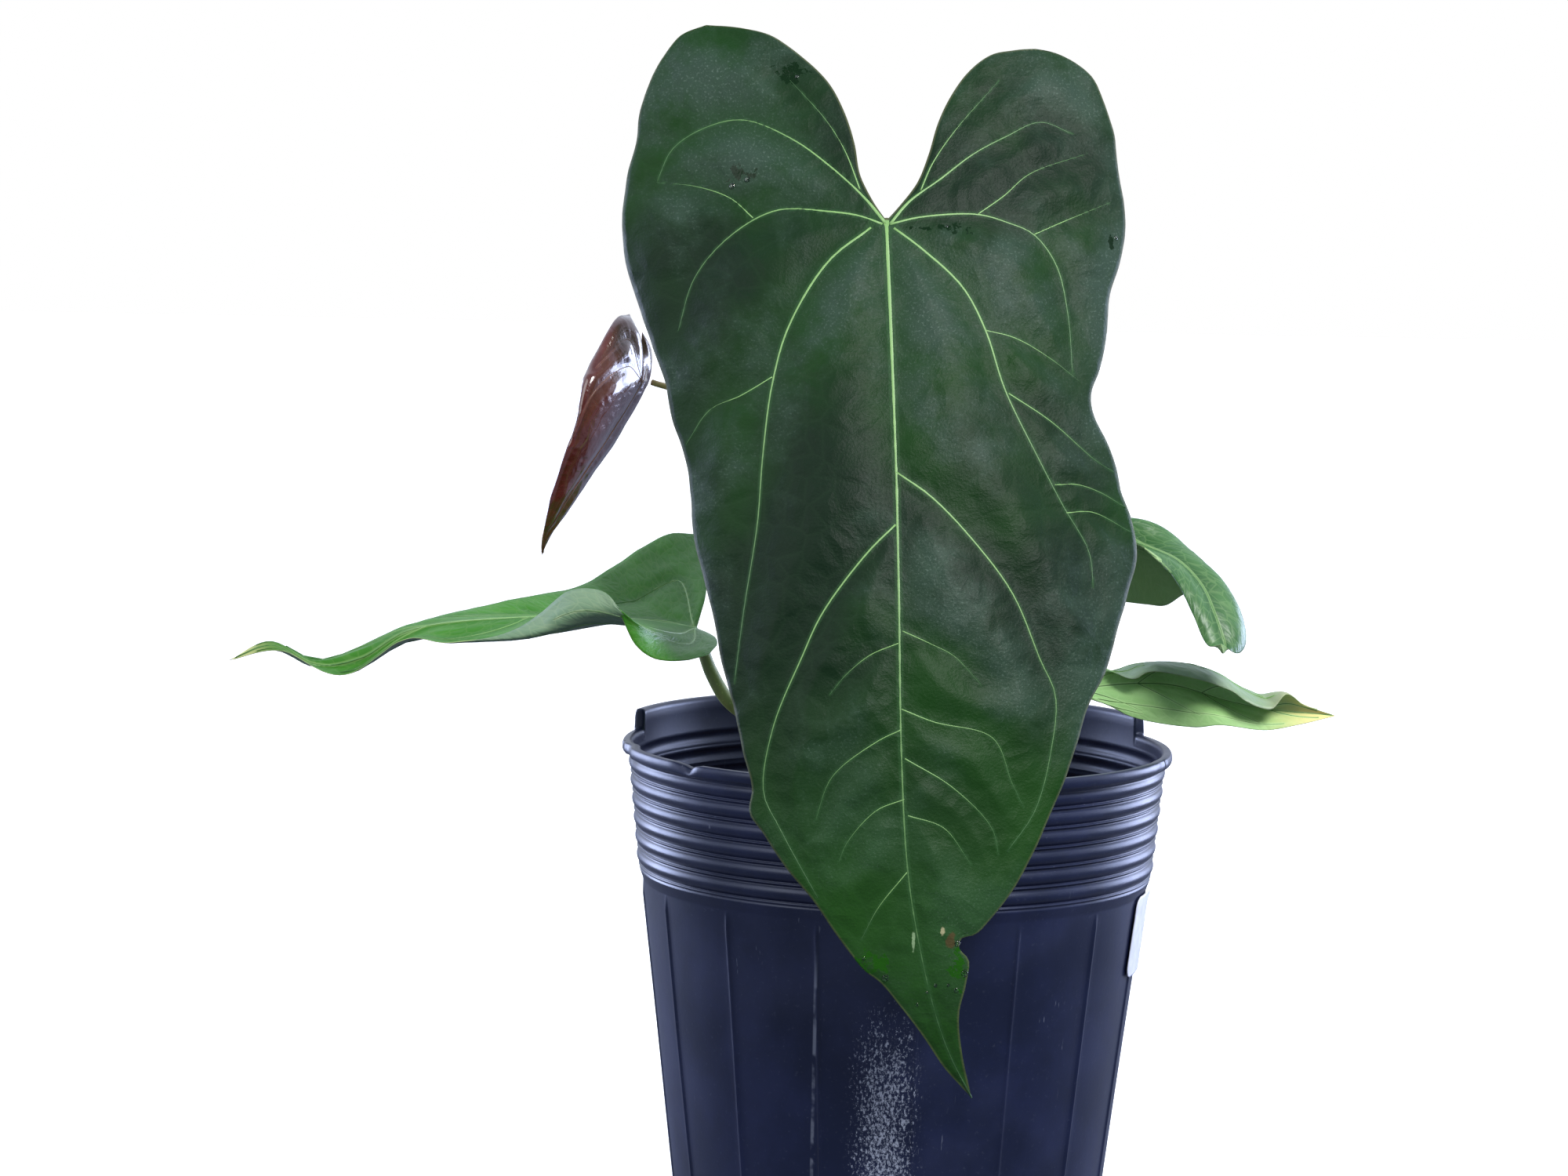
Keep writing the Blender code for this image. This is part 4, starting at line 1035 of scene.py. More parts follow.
def build_crown():
    """The short stem: stacked leaf scars, each a shallow ring, on a radius that wanders."""
    low, high = box_mm("stem_crown")
    rows, columns = 90, 96
    z = np.linspace(low[2], high[2], rows)
    angle = np.linspace(0.0, math.tau, columns, endpoint=False)
    height, turn = np.meshgrid(z, angle, indexing="ij")
    rings = np.abs(np.sin((height - low[2]) * math.pi / 4.6 + 0.35 * np.sin(turn * 2))) ** 0.5
    top = np.sqrt(np.clip(1.0 - ((height - high[2] + 3.0) / 3.0).clip(0.0) ** 2, 0.0, 1.0))
    foot = np.sqrt(np.clip(1.0 - ((low[2] + 2.5 - height) / 2.5).clip(0.0) ** 2, 0.0, 1.0))
    radius = 0.5 * (high[0] - low[0]) * (0.86 + 0.12 * rings) * top * foot
    points = np.stack([radius * np.cos(turn), radius * np.sin(turn), height], axis=2).reshape(-1, 3)
    radial = points * np.array([1.0, 1.0, 0.0]) / np.maximum(radius.reshape(-1, 1), 1e-6)
    points = points + 0.18 * radial * ripple(points, 31, 5.0, 3)[:, None] * (radius.reshape(-1, 1) > 1)
    first, triangles = weld(points, grid_triangles(rows, columns, wrap=True))
    material, recipe, shader, where = new_material("ringed stem", 0.75)
    bark = recipe.noise(where, 220.0, 5.0, 0.6, (1.0, 1.0, 2.5))
    green = recipe.blend(recipe.fade(bark, 0.35, 0.7), (0.1, 0.09, 0.04), (0.22, 0.2, 0.09))
    recipe.finish(shader, green, bark, 0.6, 0.0006)
    hand_over(make_piece("ringed_crown", points[first], triangles, [material]), "old_stem",
              "stem_crown")


PAPER_HALF = 0.15


def build_dry_scales():
    """Papery sheaths: a curved triangle sheet, creased lengthwise and frayed at its edge."""
    material, recipe, shader, where = new_material("dry scale", 0.8)
    fibre = recipe.noise(where, 500.0, 4.0, 0.7, (1.0, 1.0, 0.08))
    base = recipe.blend(recipe.fade(fibre, 0.3, 0.7), (0.2, 0.12, 0.055), (0.5, 0.36, 0.2))
    recipe.finish(shader, base, fibre, 0.7, 0.0005)
    crown_low, crown_high = box_mm("stem_crown")
    crown_radius = 0.5 * (crown_high[0] - crown_low[0])
    for index in (1, 2, 3):
        node = f"cataphyll_{index}"
        low, high = box_mm(node)
        middle = 0.5 * (low + high)
        azimuth = math.atan2(middle[1], middle[0])
        up, across = np.meshgrid(np.linspace(0, 1, 60), np.linspace(-1, 1, 41), indexing="ij")
        half = np.radians(24.0) * (1.0 - up**1.6) + np.radians(1.2)
        fray = 1.0 + 0.05 * np.sin(37.0 * up + index) + 0.04 * np.sin(91.0 * up)
        turn = azimuth + half * across * fray
        crease = 0.18 * np.cos(across * 19.0) * (1.0 - up)
        radius = crown_radius + 0.75 + 3.0 * up**2 + crease
        height = low[2] + 0.4 + (high[2] - low[2] - 0.8) * up
        points = np.stack([radius * np.cos(turn), radius * np.sin(turn), height], 2).reshape(-1, 3)
        triangles = grid_triangles(60, 41)
        shell, triangles, _ = thin_shell(points, triangles, PAPER_HALF)
        hand_over(make_piece(f"dry_scale_{index}", shell, triangles, [material]), "dry_scale", node)


def build_surface_roots():
    """Thick velvety roots from the crown down into the mix."""
    material, recipe, shader, where = new_material("root skin", 0.8, Sheen_Weight=0.2)
    skin = recipe.noise(where, 350.0, 4.0, 0.6)
    base = recipe.blend(recipe.fade(skin, 0.35, 0.65), (0.28, 0.21, 0.11), (0.5, 0.42, 0.27))
    recipe.finish(shader, base, skin, 0.5, 0.0005)
    mix_top = box_mm("potting_mix")[1][2]
    crown_low, crown_high = box_mm("stem_crown")
    start = 0.5 * (crown_high[0] - crown_low[0]) + 0.3
    for index, (azimuth, reach) in enumerate(((18.0, 14.0), (150.0, 17.0), (256.0, 12.0))):
        out = np.array([math.cos(math.radians(azimuth)), math.sin(math.radians(azimuth)), 0.0])
        side = np.array([-out[1], out[0], 0.0])
        up = np.array([0.0, 0.0, 1.0])
        route = [out * start + up * (mix_top + 7.5),
                 out * (start + 0.4 * reach) + side + up * (mix_top + 8.0),
                 out * (start + 0.8 * reach) + side * 2.5 + up * (mix_top + 6.0),
                 out * (start + reach) + side * 3.0 + up * (mix_top + 3.0),
                 out * (start + reach) + side * 3.0 + up * (mix_top + 0.5)]
        centres = rail(route, 60)
        radii = smooth_through([0, 0.3, 0.7, 1], [1.9, 2.0, 1.8, 1.7], np.linspace(0, 1, 60))
        radii = radii * (1.0 + 0.06 * ripple(centres, 40 + index, 4.0, 3))
        points, triangles = sweep(centres, radii, 24, up + 0.3 * side)
        hand_over(make_piece(f"surface_root_{index + 1}", points, triangles, [material]),
                  "root_skin", f"aerial_root_{index + 1}")


def rough_block(size, seed, rows=22, columns=36, square=0.55, chipping=0.1):
    """A closed rough lump: a superellipsoid, each |sin| and |cos| raised to square, then chipped."""
    latitude, longitude = np.meshgrid(np.linspace(-0.5 * math.pi, 0.5 * math.pi, rows),
                                      np.linspace(0.0, math.tau, columns, endpoint=False),
                                      indexing="ij")

    def raised(values):
        """The values' sizes raised to square, their signs kept."""
        return np.sign(values) * np.abs(values) ** square

    points = np.stack([raised(np.cos(latitude)) * raised(np.cos(longitude)),
                       raised(np.cos(latitude)) * raised(np.sin(longitude)),
                       raised(np.sin(latitude))], axis=2).reshape(-1, 3)
    first, triangles = weld(points, grid_triangles(rows, columns, wrap=True))
    points = points[first]
    points = points * (1.0 + chipping * ripple(points, seed, 1.6, 4))[:, None]
    points /= np.abs(points).max(axis=0)
    return points * 0.5 * np.asarray(size), triangles


def build_loose_pieces():
    """The bark chips and pumice grains that the solids name, each fitted to its own box."""
    bark = bark_material()
    stone = pumice_material()
    for index, (kind, count, material, slot) in enumerate(
            (("bark_chip", 8, bark, "bark"), ("pumice_grain", 5, stone, "pumice"))):
        for number in range(1, count + 1):
            node = f"{kind}_{number}"
            low, high = box_mm(node)
            square = 0.5 if kind == "bark_chip" else 0.9
            points, triangles = rough_block(high - low, 60 + 20 * index + number, square=square)
            points = points + 0.5 * (low + high)
            hand_over(make_piece(f"{kind}_piece_{number}", points, triangles, [material]), slot, node)


def bark_material():
    """Layered, fibrous bark."""
    material, recipe, shader, where = new_material("fir bark", 0.9)
    layers = recipe.noise(where, 400.0, 5.0, 0.65, (1.0, 0.25, 2.0))
    tone = recipe.noise(where, 60.0, 2.0)
    dark = recipe.blend(recipe.fade(tone, 0.4, 0.6), (0.045, 0.022, 0.012), (0.11, 0.05, 0.022))
    base = recipe.blend(recipe.fade(layers, 0.4, 0.7), dark, (0.24, 0.13, 0.07))
    recipe.finish(shader, base, layers, 0.9, 0.0008)
    return material


def pumice_material():
    """Pale stone full of small pits."""
    material, recipe, shader, where = new_material("pumice stone", 0.9)
    pits = recipe.cells(where, 900.0, "F1")
    stain = recipe.fade(recipe.noise(where, 150.0), 0.4, 0.7)
    base = recipe.blend(stain, (0.6, 0.57, 0.5), (0.4, 0.33, 0.24))
    recipe.finish(shader, base, pits, 0.8, 0.0008)
    return material


def build_mix_bed():
    """The mix: a plug turned to the solid's own taper, its top a polar grid heaped by noise."""
    low, high = box_mm("potting_mix")
    top_radius = 0.5 * (high[0] - low[0])
    foot_radius = top_radius - 14.5
    columns = 256
    ring = np.concatenate([np.linspace(0.0, 1.0, 90), np.full(12, 1.0), np.linspace(1.0, 0.0, 10)])
    drop = np.concatenate([np.zeros(90), np.linspace(0.02, 1.0, 12), np.ones(10)])
    radius = ring * (top_radius + (foot_radius - top_radius) * drop)
    turn = np.linspace(0.0, math.tau, columns, endpoint=False)
    x = radius[:, None] * np.cos(turn)
    y = radius[:, None] * np.sin(turn)
    z = np.broadcast_to((high[2] + (low[2] - high[2]) * drop)[:, None], x.shape)
    points = np.stack([x, y, z], axis=2).reshape(-1, 3)
    first, triangles = weld(points, grid_triangles(len(ring), columns, wrap=True))
    points = points[first]
    on_top = points[:, 2] > high[2] - 0.01
    heap = 0.9 * ripple(points, 71, 12.0, 4) - 1.0
    points[:, 2] += np.where(on_top, np.minimum(heap, 0.0), 0.0)
    normals = point_normals(points, triangles)
    if normals[on_top][:, 2].mean() < 0:
        triangles = triangles[:, ::-1]
    material, recipe, shader, where = new_material("damp mix", 0.95)
    crumb = recipe.cells(where, 420.0, "F1")
    tone = recipe.noise(where, 300.0, 4.0, 0.7)
    base = recipe.blend(recipe.fade(tone, 0.35, 0.7), (0.02, 0.012, 0.008), (0.12, 0.07, 0.04))
    recipe.finish(shader, base, crumb, 0.9, 0.001)
    hand_over(make_piece("mix_bed", points, triangles, [material]), "bark_mix", "potting_mix")


def build_mix_crumbs():
    """Small bark and pumice scattered over the mix, many lumps in two pieces."""
    mix_low, mix_high = box_mm("potting_mix")
    top = mix_high[2]
    reach = 0.5 * (mix_high[0] - mix_low[0]) - 5.0
    rng = np.random.default_rng(83)
    for name, slot, material, count, sizes, square in (
            ("bark_crumbs", "bark", bark_material(), 330, ((4, 9), (3, 6), (1.5, 3.2)), 0.5),
            ("pumice_crumbs", "pumice", pumice_material(), 90, ((2, 4.5), (2, 4), (1.5, 3)), 0.9)):
        parts = []
        for index in range(count):
            size = [rng.uniform(*limits) for limits in sizes]
            distance = reach * math.sqrt(rng.uniform(0.045, 1.0))
            angle = rng.uniform(0.0, math.tau)
            tilt = rng.normal(0.0, 0.25, 2)
            turned = (Matrix.Rotation(rng.uniform(0.0, math.tau), 3, "Z")
                      @ Matrix.Rotation(tilt[0], 3, "X") @ Matrix.Rotation(tilt[1], 3, "Y"))
            points, triangles = rough_block(size, 200 + index, 7, 10, square, 0.14)
            points = points @ np.array(turned).T
            points += (distance * math.cos(angle), distance * math.sin(angle),
                       top - 0.3 + 0.32 * size[2] + rng.uniform(-0.6, 0.6))
            parts.append((points, triangles))
        points, triangles = joined(parts)
        hand_over(make_piece(name, points, triangles, [material]), slot)


# The pot ----------------------------------------------------------------------------------------

RIB_COUNT = 16
FIRST_RIB = -86.0
RIB_HEIGHT = 0.5
RIB_HALF_WIDTH = 0.55
COLLAR_FOOT = 124.5
RIDGE_PITCH = 5.1
RIDGE_TOP = 153.5
RIDGE_HEIGHT = 0.5
LIP_DEPTH = 3.0
POT_WALL = 1.0
POT_FLOOR = 2.0
FOOT_RADIUS = 54.0
SHOULDER_RADIUS = 69.0
COLLAR_FOOT_RADIUS = 69.6
COLLAR_TOP_RADIUS = 73.1
DRAIN_RADIUS = 5.5
DRAIN_RING = 36.0
DRAIN_COUNT = 6
BACK_RIM = (21.0, 165.0)
BACK_RISE = 5.5
TEAR_ANGLE = -139.0
CRUMPLE_ANGLE = -170.0


def body_radius(z):
    """The plain taper of the body, from 54 at the foot to 69 under the collar."""
    return FOOT_RADIUS + (SHOULDER_RADIUS - FOOT_RADIUS) * z / COLLAR_FOOT


def collar_radius(z, top):
    """The collar's own taper, from 69.6 at its foot to 73.1 under the lip."""
    share = (z - COLLAR_FOOT) / (top - COLLAR_FOOT)
    return COLLAR_FOOT_RADIUS + (COLLAR_TOP_RADIUS - COLLAR_FOOT_RADIUS) * share


def ridge_shape(z):
    """One rounded ridge per pitch: a wide swell, then a narrow groove under a sharp edge."""
    turn = ((RIDGE_TOP - z) / RIDGE_PITCH + 0.5) % 1.0
    swell = np.sin(math.pi * np.clip(turn / 0.72, 0.0, 1.0)) ** 0.7
    bead = 0.75 * bump(0.84, 0.08, turn)
    inside = ease(COLLAR_FOOT + 0.5, COLLAR_FOOT + 2.0, z)
    inside = inside * (1.0 - ease(RIDGE_TOP + 2.0, RIDGE_TOP + 3.0, z))
    return RIDGE_HEIGHT * (2.0 * np.maximum(swell, bead) - 1.0) * inside


def pot_columns():
    """Angles round the pot in degrees: close together over each rib and each step of the rim."""
    rib = np.array([-1.1, -0.7, -0.5, -0.35, -0.15, 0.0, 0.15, 0.35, 0.5, 0.7, 1.1])
    plain = np.linspace(2.4, 20.1, 12)
    starts = FIRST_RIB + np.arange(RIB_COUNT) * 360.0 / RIB_COUNT
    angles = (starts[:, None] + np.concatenate([rib, plain])[None]).ravel()
    steps = np.concatenate([edge + np.array([-0.5, -0.15, 0.15, 0.5]) for edge in BACK_RIM])
    return np.unique(np.round(np.concatenate([angles, steps]) % 360.0, 4))


def pot_profile(top):
    """Rows (radius, z, part) up the outside, over the lip, down the inside and in to the middle.

    part is 0 underneath, 1 on the body, 2 on the collar, 3 on the lip, 4 inside and 5 on the floor.
    """
    body_z = np.concatenate([np.linspace(0.8, 4.0, 6), np.linspace(6.0, COLLAR_FOOT - 2.4, 30)])
    shoulder = np.linspace(COLLAR_FOOT - 2.0, COLLAR_FOOT + 0.4, 6)
    collar_z = np.linspace(COLLAR_FOOT + 0.6, top - LIP_DEPTH - 0.1, 150)
    lip_turn = np.linspace(-0.5 * math.pi, 0.5 * math.pi, 14)
    lip_foot = top - LIP_DEPTH
    rows = [(np.linspace(0.0, 52.6, 18), np.zeros(18), 0)]
    rows.append((body_radius(body_z), body_z, 1))
    rows.append((np.interp(shoulder, (shoulder[0], shoulder[-1]),
                           (body_radius(shoulder[0]), COLLAR_FOOT_RADIUS)), shoulder, 2))
    rows.append((collar_radius(collar_z, top) + ridge_shape(collar_z), collar_z, 2))
    under_lip = np.interp([0.0, 0.5, 1.0], (0, 1), (COLLAR_TOP_RADIUS, 74.3))
    rows.append((under_lip, np.full(3, lip_foot), 3))
    rows.append((74.3 + 0.7 * np.cos(lip_turn), lip_foot + 1.5 + 1.5 * np.sin(lip_turn), 3))
    rows.append((np.array([73.6, 72.9, 72.4]), np.array([top, top, top - 0.3]), 3))
    inner_z = np.concatenate([np.linspace(top - 1.0, COLLAR_FOOT, 70),
                              np.linspace(122.0, POT_FLOOR + 0.6, 24)])
    inner = np.where(inner_z > COLLAR_FOOT, collar_radius(inner_z, top) + 0.7 * ridge_shape(inner_z),
                     body_radius(inner_z)) - POT_WALL
    rows.append((np.minimum(inner, 72.2), inner_z, 4))
    rows.append((np.linspace(53.0, 0.0, 18), np.full(18, POT_FLOOR), 5))
    radius = np.concatenate([row[0] for row in rows])
    z = np.concatenate([row[1] for row in rows])
    part = np.concatenate([np.full(len(row[0]), row[2]) for row in rows])
    return radius, z, part


def build_pot(settings):
    """The thin moulded pot, with its ribs, ridges, stepped and torn lip and drainage holes."""
    low, high = box_mm("pot_shell")
    front_top = high[2] - BACK_RISE
    lip_radius = 0.5 * (high[0] - low[0])
    radius, z, part = pot_profile(front_top)
    radius = radius * np.where(part == 3, lip_radius / 75.0, 1.0)
    degrees = pot_columns()
    turn = np.radians(degrees)
    r, a = np.meshgrid(radius, degrees, indexing="ij")
    z = np.broadcast_to(z[:, None], r.shape).copy()
    part = np.broadcast_to(part[:, None], r.shape)
    pitch = 360.0 / RIB_COUNT
    from_rib = (a - FIRST_RIB + 0.5 * pitch) % pitch - 0.5 * pitch
    rib = np.exp(-(np.radians(from_rib) * r / RIB_HALF_WIDTH) ** 2)
    ribbed = (part == 1) * ease(2.0, 5.0, z) * (1.0 - ease(COLLAR_FOOT - 6.0, COLLAR_FOOT - 2.5, z))
    r = r + RIB_HEIGHT * rib * ribbed
    rise = ease(BACK_RIM[0] - 0.3, BACK_RIM[0] + 0.3, a) * (1.0 - ease(BACK_RIM[1] - 0.3,
                                                                     BACK_RIM[1] + 0.3, a))
    near_top = ease(front_top - LIP_DEPTH - 0.2, front_top - LIP_DEPTH + 0.05, z)
    z = z + BACK_RISE * rise * near_top
    signed = (a + 180.0) % 360.0 - 180.0
    upper = ease(front_top - 4.0, front_top, z)
    tear = bump(TEAR_ANGLE, 3.2, signed) * (1.0 + 0.5 * np.sin(signed * 9.0))
    r = r - 1.3 * tear * upper
    z = z - 1.4 * tear * upper
    crumple = bump(CRUMPLE_ANGLE, 8.0, signed) * np.sin(signed * 2.3) * ease(front_top - 8.0, front_top, z)
    r = r - np.abs(1.5 * crumple)
    nicks = bump(-22.0, 9.0, signed) * np.abs(np.sin(signed * 3.1)) ** 14
    r = r - 0.8 * nicks * upper
    wall = (part > 0) & (part < 5)
    ring = np.stack([np.cos(turn), np.sin(turn), np.zeros_like(turn)], axis=1)
    points = r[..., None] * ring[None]
    points[..., 2] = z
    flat = points.reshape(-1, 3)
    wobble = 0.12 * ripple(flat * np.array([1.0, 1.0, 0.4]), 91, 45.0, 2)
    outward = flat * np.array([1.0, 1.0, 0.0])
    outward /= np.maximum(np.linalg.norm(outward, axis=1), 1e-6)[:, None]
    flat = flat + outward * (wobble * wall.ravel() * ease(4.0, 20.0, flat[:, 2]))[:, None]
    first, triangles = weld(flat, grid_triangles(len(radius), len(degrees), wrap=True))
    pot = make_piece("nursery_pot", flat[first], triangles, [pot_material(settings)])
    cut_drainage(pot)
    hand_over(pot, "pot_plastic", "pot_shell")


def cut_drainage(pot):
    """Six round holes through the floor, cut and applied."""
    for hole in range(DRAIN_COUNT):
        turn = math.tau * (hole + 0.5) / DRAIN_COUNT
        mesh = bpy.data.meshes.new("drain")
        shape = bmesh.new()
        bmesh.ops.create_cone(shape, cap_ends=True, segments=48, radius1=DRAIN_RADIUS * MM,
                              radius2=DRAIN_RADIUS * MM, depth=8.0 * MM)
        place = Vector((DRAIN_RING * math.cos(turn), DRAIN_RING * math.sin(turn), 1.0)) * MM
        bmesh.ops.translate(shape, verts=shape.verts, vec=place)
        shape.to_mesh(mesh)
        shape.free()
        cutter = bpy.data.objects.new("drain", mesh)
        bpy.context.scene.collection.objects.link(cutter)
        step = pot.modifiers.new("drain", "BOOLEAN")
        step.operation = "DIFFERENCE"
        step.solver = "EXACT"
        step.object = cutter
        with bpy.context.temp_override(object=pot, active_object=pot, selected_objects=[pot]):
            bpy.ops.object.modifier_apply(modifier=step.name)
        bpy.data.objects.remove(cutter)


RUBBED_RIB = 0.0215


def pot_material(settings):
    """Satin blue-black plastic with mould haze, pale scratches and a dusty scuff on the front."""
    material, recipe, shader, where = new_material(
        "nursery plastic", 0.4, Specular_IOR_Level=0.5, Specular_Tint=(0.7, 0.78, 1.0, 1.0))
    x, y, z = recipe.node("ShaderNodeSeparateXYZ", Vector=where).outputs
    haze = recipe.noise(where, 35.0, 5.0, 0.65)
    base = recipe.blend(recipe.fade(haze, 0.35, 0.7), settings.plastic, settings.haze)
    front = recipe.fade(y, -0.03, -0.055)
    aside = recipe.maths("ABSOLUTE", recipe.maths("ADD", x, 0.003))
    across = recipe.fade(aside, 0.001, 0.012, 1.0, 0.0)
    above = recipe.maths("ABSOLUTE", recipe.maths("SUBTRACT", z, 0.068))
    up = recipe.fade(above, 0.01, 0.04, 1.0, 0.0)
    patch = recipe.maths("MULTIPLY", recipe.maths("MULTIPLY", across, up), front)
    crumbs = recipe.noise(where, 1500.0, 4.0, 0.8, (1.0, 1.0, 0.6))
    wanted = recipe.maths("ADD", recipe.maths("MULTIPLY", patch, 0.14), crumbs)
    scuff = recipe.maths("MULTIPLY", recipe.fade(wanted, 0.6, 0.72), recipe.fade(patch, 0.0, 0.3))
    dust = place_group(recipe, dust_group(), Where=where, Amount=0.12)["Share"]
    scratch_lines = recipe.noise(where, 150.0, 2.0, 0.5, (8.0, 8.0, 0.8))
    scratch = recipe.maths("MULTIPLY", recipe.fade(scratch_lines, 0.7, 0.76),
                           recipe.fade(recipe.noise(where, 50.0, 2.0), 0.52, 0.7))
    rub_middle = recipe.maths("ABSOLUTE", recipe.maths("ADD", x, RUBBED_RIB))
    rub = recipe.maths("MULTIPLY", recipe.fade(rub_middle, 0.0002, 0.0006, 1.0, 0.0),
                       recipe.maths("MULTIPLY", front, recipe.fade(z, 0.118, 0.1)))
    rub = recipe.maths("MULTIPLY", rub, recipe.fade(recipe.noise(where, 160.0, 3.0), 0.42, 0.58))
    pale = recipe.maths("ADD", recipe.maths("ADD", recipe.maths("MULTIPLY", scuff, 0.8),
                                            recipe.maths("MULTIPLY", dust, 0.4)),
                        recipe.maths("MULTIPLY", recipe.maths("ADD", scratch, rub), 0.3), True)
    base = recipe.blend(pale, base, (0.36, 0.40, 0.50))
    recipe.feed(shader.inputs["Base Color"], base)
    rough = recipe.maths("ADD", recipe.fade(haze, 0.3, 0.7, 0.32, 0.42), recipe.maths("MULTIPLY", pale, 0.4))
    recipe.feed(shader.inputs["Roughness"], rough)
    skin = recipe.noise(where, 900.0, 3.0)
    recipe.feed(shader.inputs["Normal"], recipe.relief(skin, 0.08, 0.0002))
    return material


def build_label(settings):
    """The blank sticker: a thin curved sheet with rounded corners, lying over one rib."""
    low, high = box_mm("pot_label")
    centre_z = 0.5 * (low[2] + high[2])
    half_height = 0.5 * (high[2] - low[2])
    middle = math.atan2(low[1] + high[1], low[0] + high[0])
    half_width = 9.5
    rows, columns = 48, 40
    s, t = np.meshgrid(np.linspace(-1, 1, rows), np.linspace(-1, 1, columns), indexing="ij")
    corner = 0.3
    pull = (np.clip(np.abs(s) - (1 - corner), 0, corner) / corner) ** 2
    across = t * (half_width - (1.0 - np.sqrt(np.clip(1.0 - pull, 0, 1))) * corner * half_width)
    up = s * half_height
    lift = 0.85 + 0.08 * ripple(np.stack([across.ravel(), up.ravel()], 1), 95, 9.0).reshape(s.shape)
    curl = 0.25 * ease(0.6, 1.0, s) * ease(0.6, 1.0, t)
    radius = body_radius(centre_z + up) + lift + curl
    angle = middle + across / radius
    points = np.stack([radius * np.cos(angle), radius * np.sin(angle), centre_z + up], 2).reshape(-1, 3)
    triangles = grid_triangles(rows, columns)
    if (point_normals(points, triangles) * points).sum() < 0:
        triangles = triangles[:, ::-1]
    shell, triangles, _ = thin_shell(points, triangles, PAPER_HALF)
    material, recipe, shader, where = new_material("blank paper", 0.55)
    fibre = recipe.noise(where, 260.0, 5.0, 0.65)
    base = recipe.blend(recipe.fade(fibre, 0.35, 0.75), (0.60, 0.63, 0.74), settings.label)
    recipe.finish(shader, base, fibre, 0.2, 0.0002)
    hand_over(make_piece("blank_label", shell, triangles, [material]), "label_paper", "pot_label")


# The stage --------------------------------------------------------------------------------------


def build_stage(settings):
    """A pale floor with a painted glow that brightens away from the pot, a white surround, four lamps, the
    camera.
    """
    low, high = (np.array(corner) for corner in CAD_BOX)
    floor_z = low[2]
    reach = 6.0
    rows = 60
    across = np.linspace(-2 * reach, 2 * reach, rows)
    x, y = np.meshgrid(across, across, indexing="ij")
    points = np.stack([x, y, np.full_like(x, floor_z - 0.0002)], 2)
    material, recipe, shader, where = new_material("pale floor", 0.9)
    cloud = recipe.noise(where, 0.8, 2.0)
    pale = recipe.blend(cloud, (0.93, 0.93, 0.935), (0.95, 0.95, 0.955))
    # Painted light: to the camera the floor is pale and glows, faintly near the pot and more strongly away
    # from it; to every other ray it is dark grey and does not glow.
    seen = recipe.node("ShaderNodeLightPath").outputs["Is Camera Ray"]
    recipe.feed(shader.inputs["Base Color"], recipe.blend(seen, (0.10, 0.11, 0.14), pale))
    away = recipe.node("ShaderNodeVectorMath", {"operation": "LENGTH"}, Vector=where).outputs["Value"]
    recipe.feed(shader.inputs["Emission Color"], colour((1.0, 1.0, 1.0)))
    glow = recipe.fade(away, 0.05, 0.6, 0.25, 0.6)
    recipe.feed(shader.inputs["Emission Strength"], recipe.maths("MULTIPLY", glow, seen))
    floor = make_piece("floor", points.reshape(-1, 3) / MM, grid_triangles(rows, rows), [material])

    bpy.context.scene.world = white_surround(settings.surround)
    bpy.context.scene.view_settings.view_transform = "Standard"

    centre = Vector((0.0, 0.0, floor_z + 0.5 * (high[2] - low[2])))
    add_lamp("key", centre + Vector((0.6, -1.0, 1.15)), centre, 0.55, settings.key_power)
    add_lamp("fill", centre + Vector((-1.0, -0.8, 0.8)), centre, 1.0, settings.fill_power)
    cool = (0.62, 0.7, 1.0)
    for side in (-1.0, 1.0):
        add_lamp("flank", centre + Vector((1.1 * side, 0.75, 0.1)), centre, 0.7, settings.flank_power, cool)
    add_camera(settings)


def white_surround(strength):
    """White where the camera sees it; as a light it is dimmer on the camera's side."""
    world = bpy.data.worlds.new("white surround")
    world.use_nodes = True
    recipe = Recipe(world.node_tree)
    background = world.node_tree.nodes["Background"]
    way = recipe.node("ShaderNodeTexCoord").outputs["Generated"]
    x, y, z = recipe.node("ShaderNodeSeparateXYZ", Vector=way).outputs
    behind = recipe.fade(y, -0.2, 0.5, 0.12, 1.0)
    beside = recipe.fade(recipe.maths("ABSOLUTE", x), 0.5, 0.95, 0.0, 0.7)
    behind = recipe.maths("MULTIPLY", recipe.maths("ADD", behind, beside), recipe.fade(z, -0.35, -0.05))
    above = recipe.fade(z, 0.2, 0.9, 0.0, 0.4)
    light = recipe.maths("MULTIPLY", recipe.maths("ADD", behind, above), strength)
    seen = recipe.node("ShaderNodeLightPath").outputs["Is Camera Ray"]
    recipe.feed(background.inputs["Color"], recipe.blend(seen, (0.78, 0.85, 1.0), (1.0, 1.0, 1.0)))
    recipe.feed(background.inputs["Strength"], recipe.fade(seen, 0.0, 1.0, light, 1.0))
    return world


def add_lamp(name, place, target, size, power, tint=(1.0, 1.0, 1.0)):
    """A square area lamp that looks at the target."""
    data = bpy.data.lights.new(name, "AREA")
    data.size = size
    data.energy = power
    data.color = tint
    lamp = bpy.data.objects.new(name, data)
    bpy.context.scene.collection.objects.link(lamp)
    lamp.location = place
    lamp.rotation_euler = (target - place).to_track_quat("-Z", "Y").to_euler()


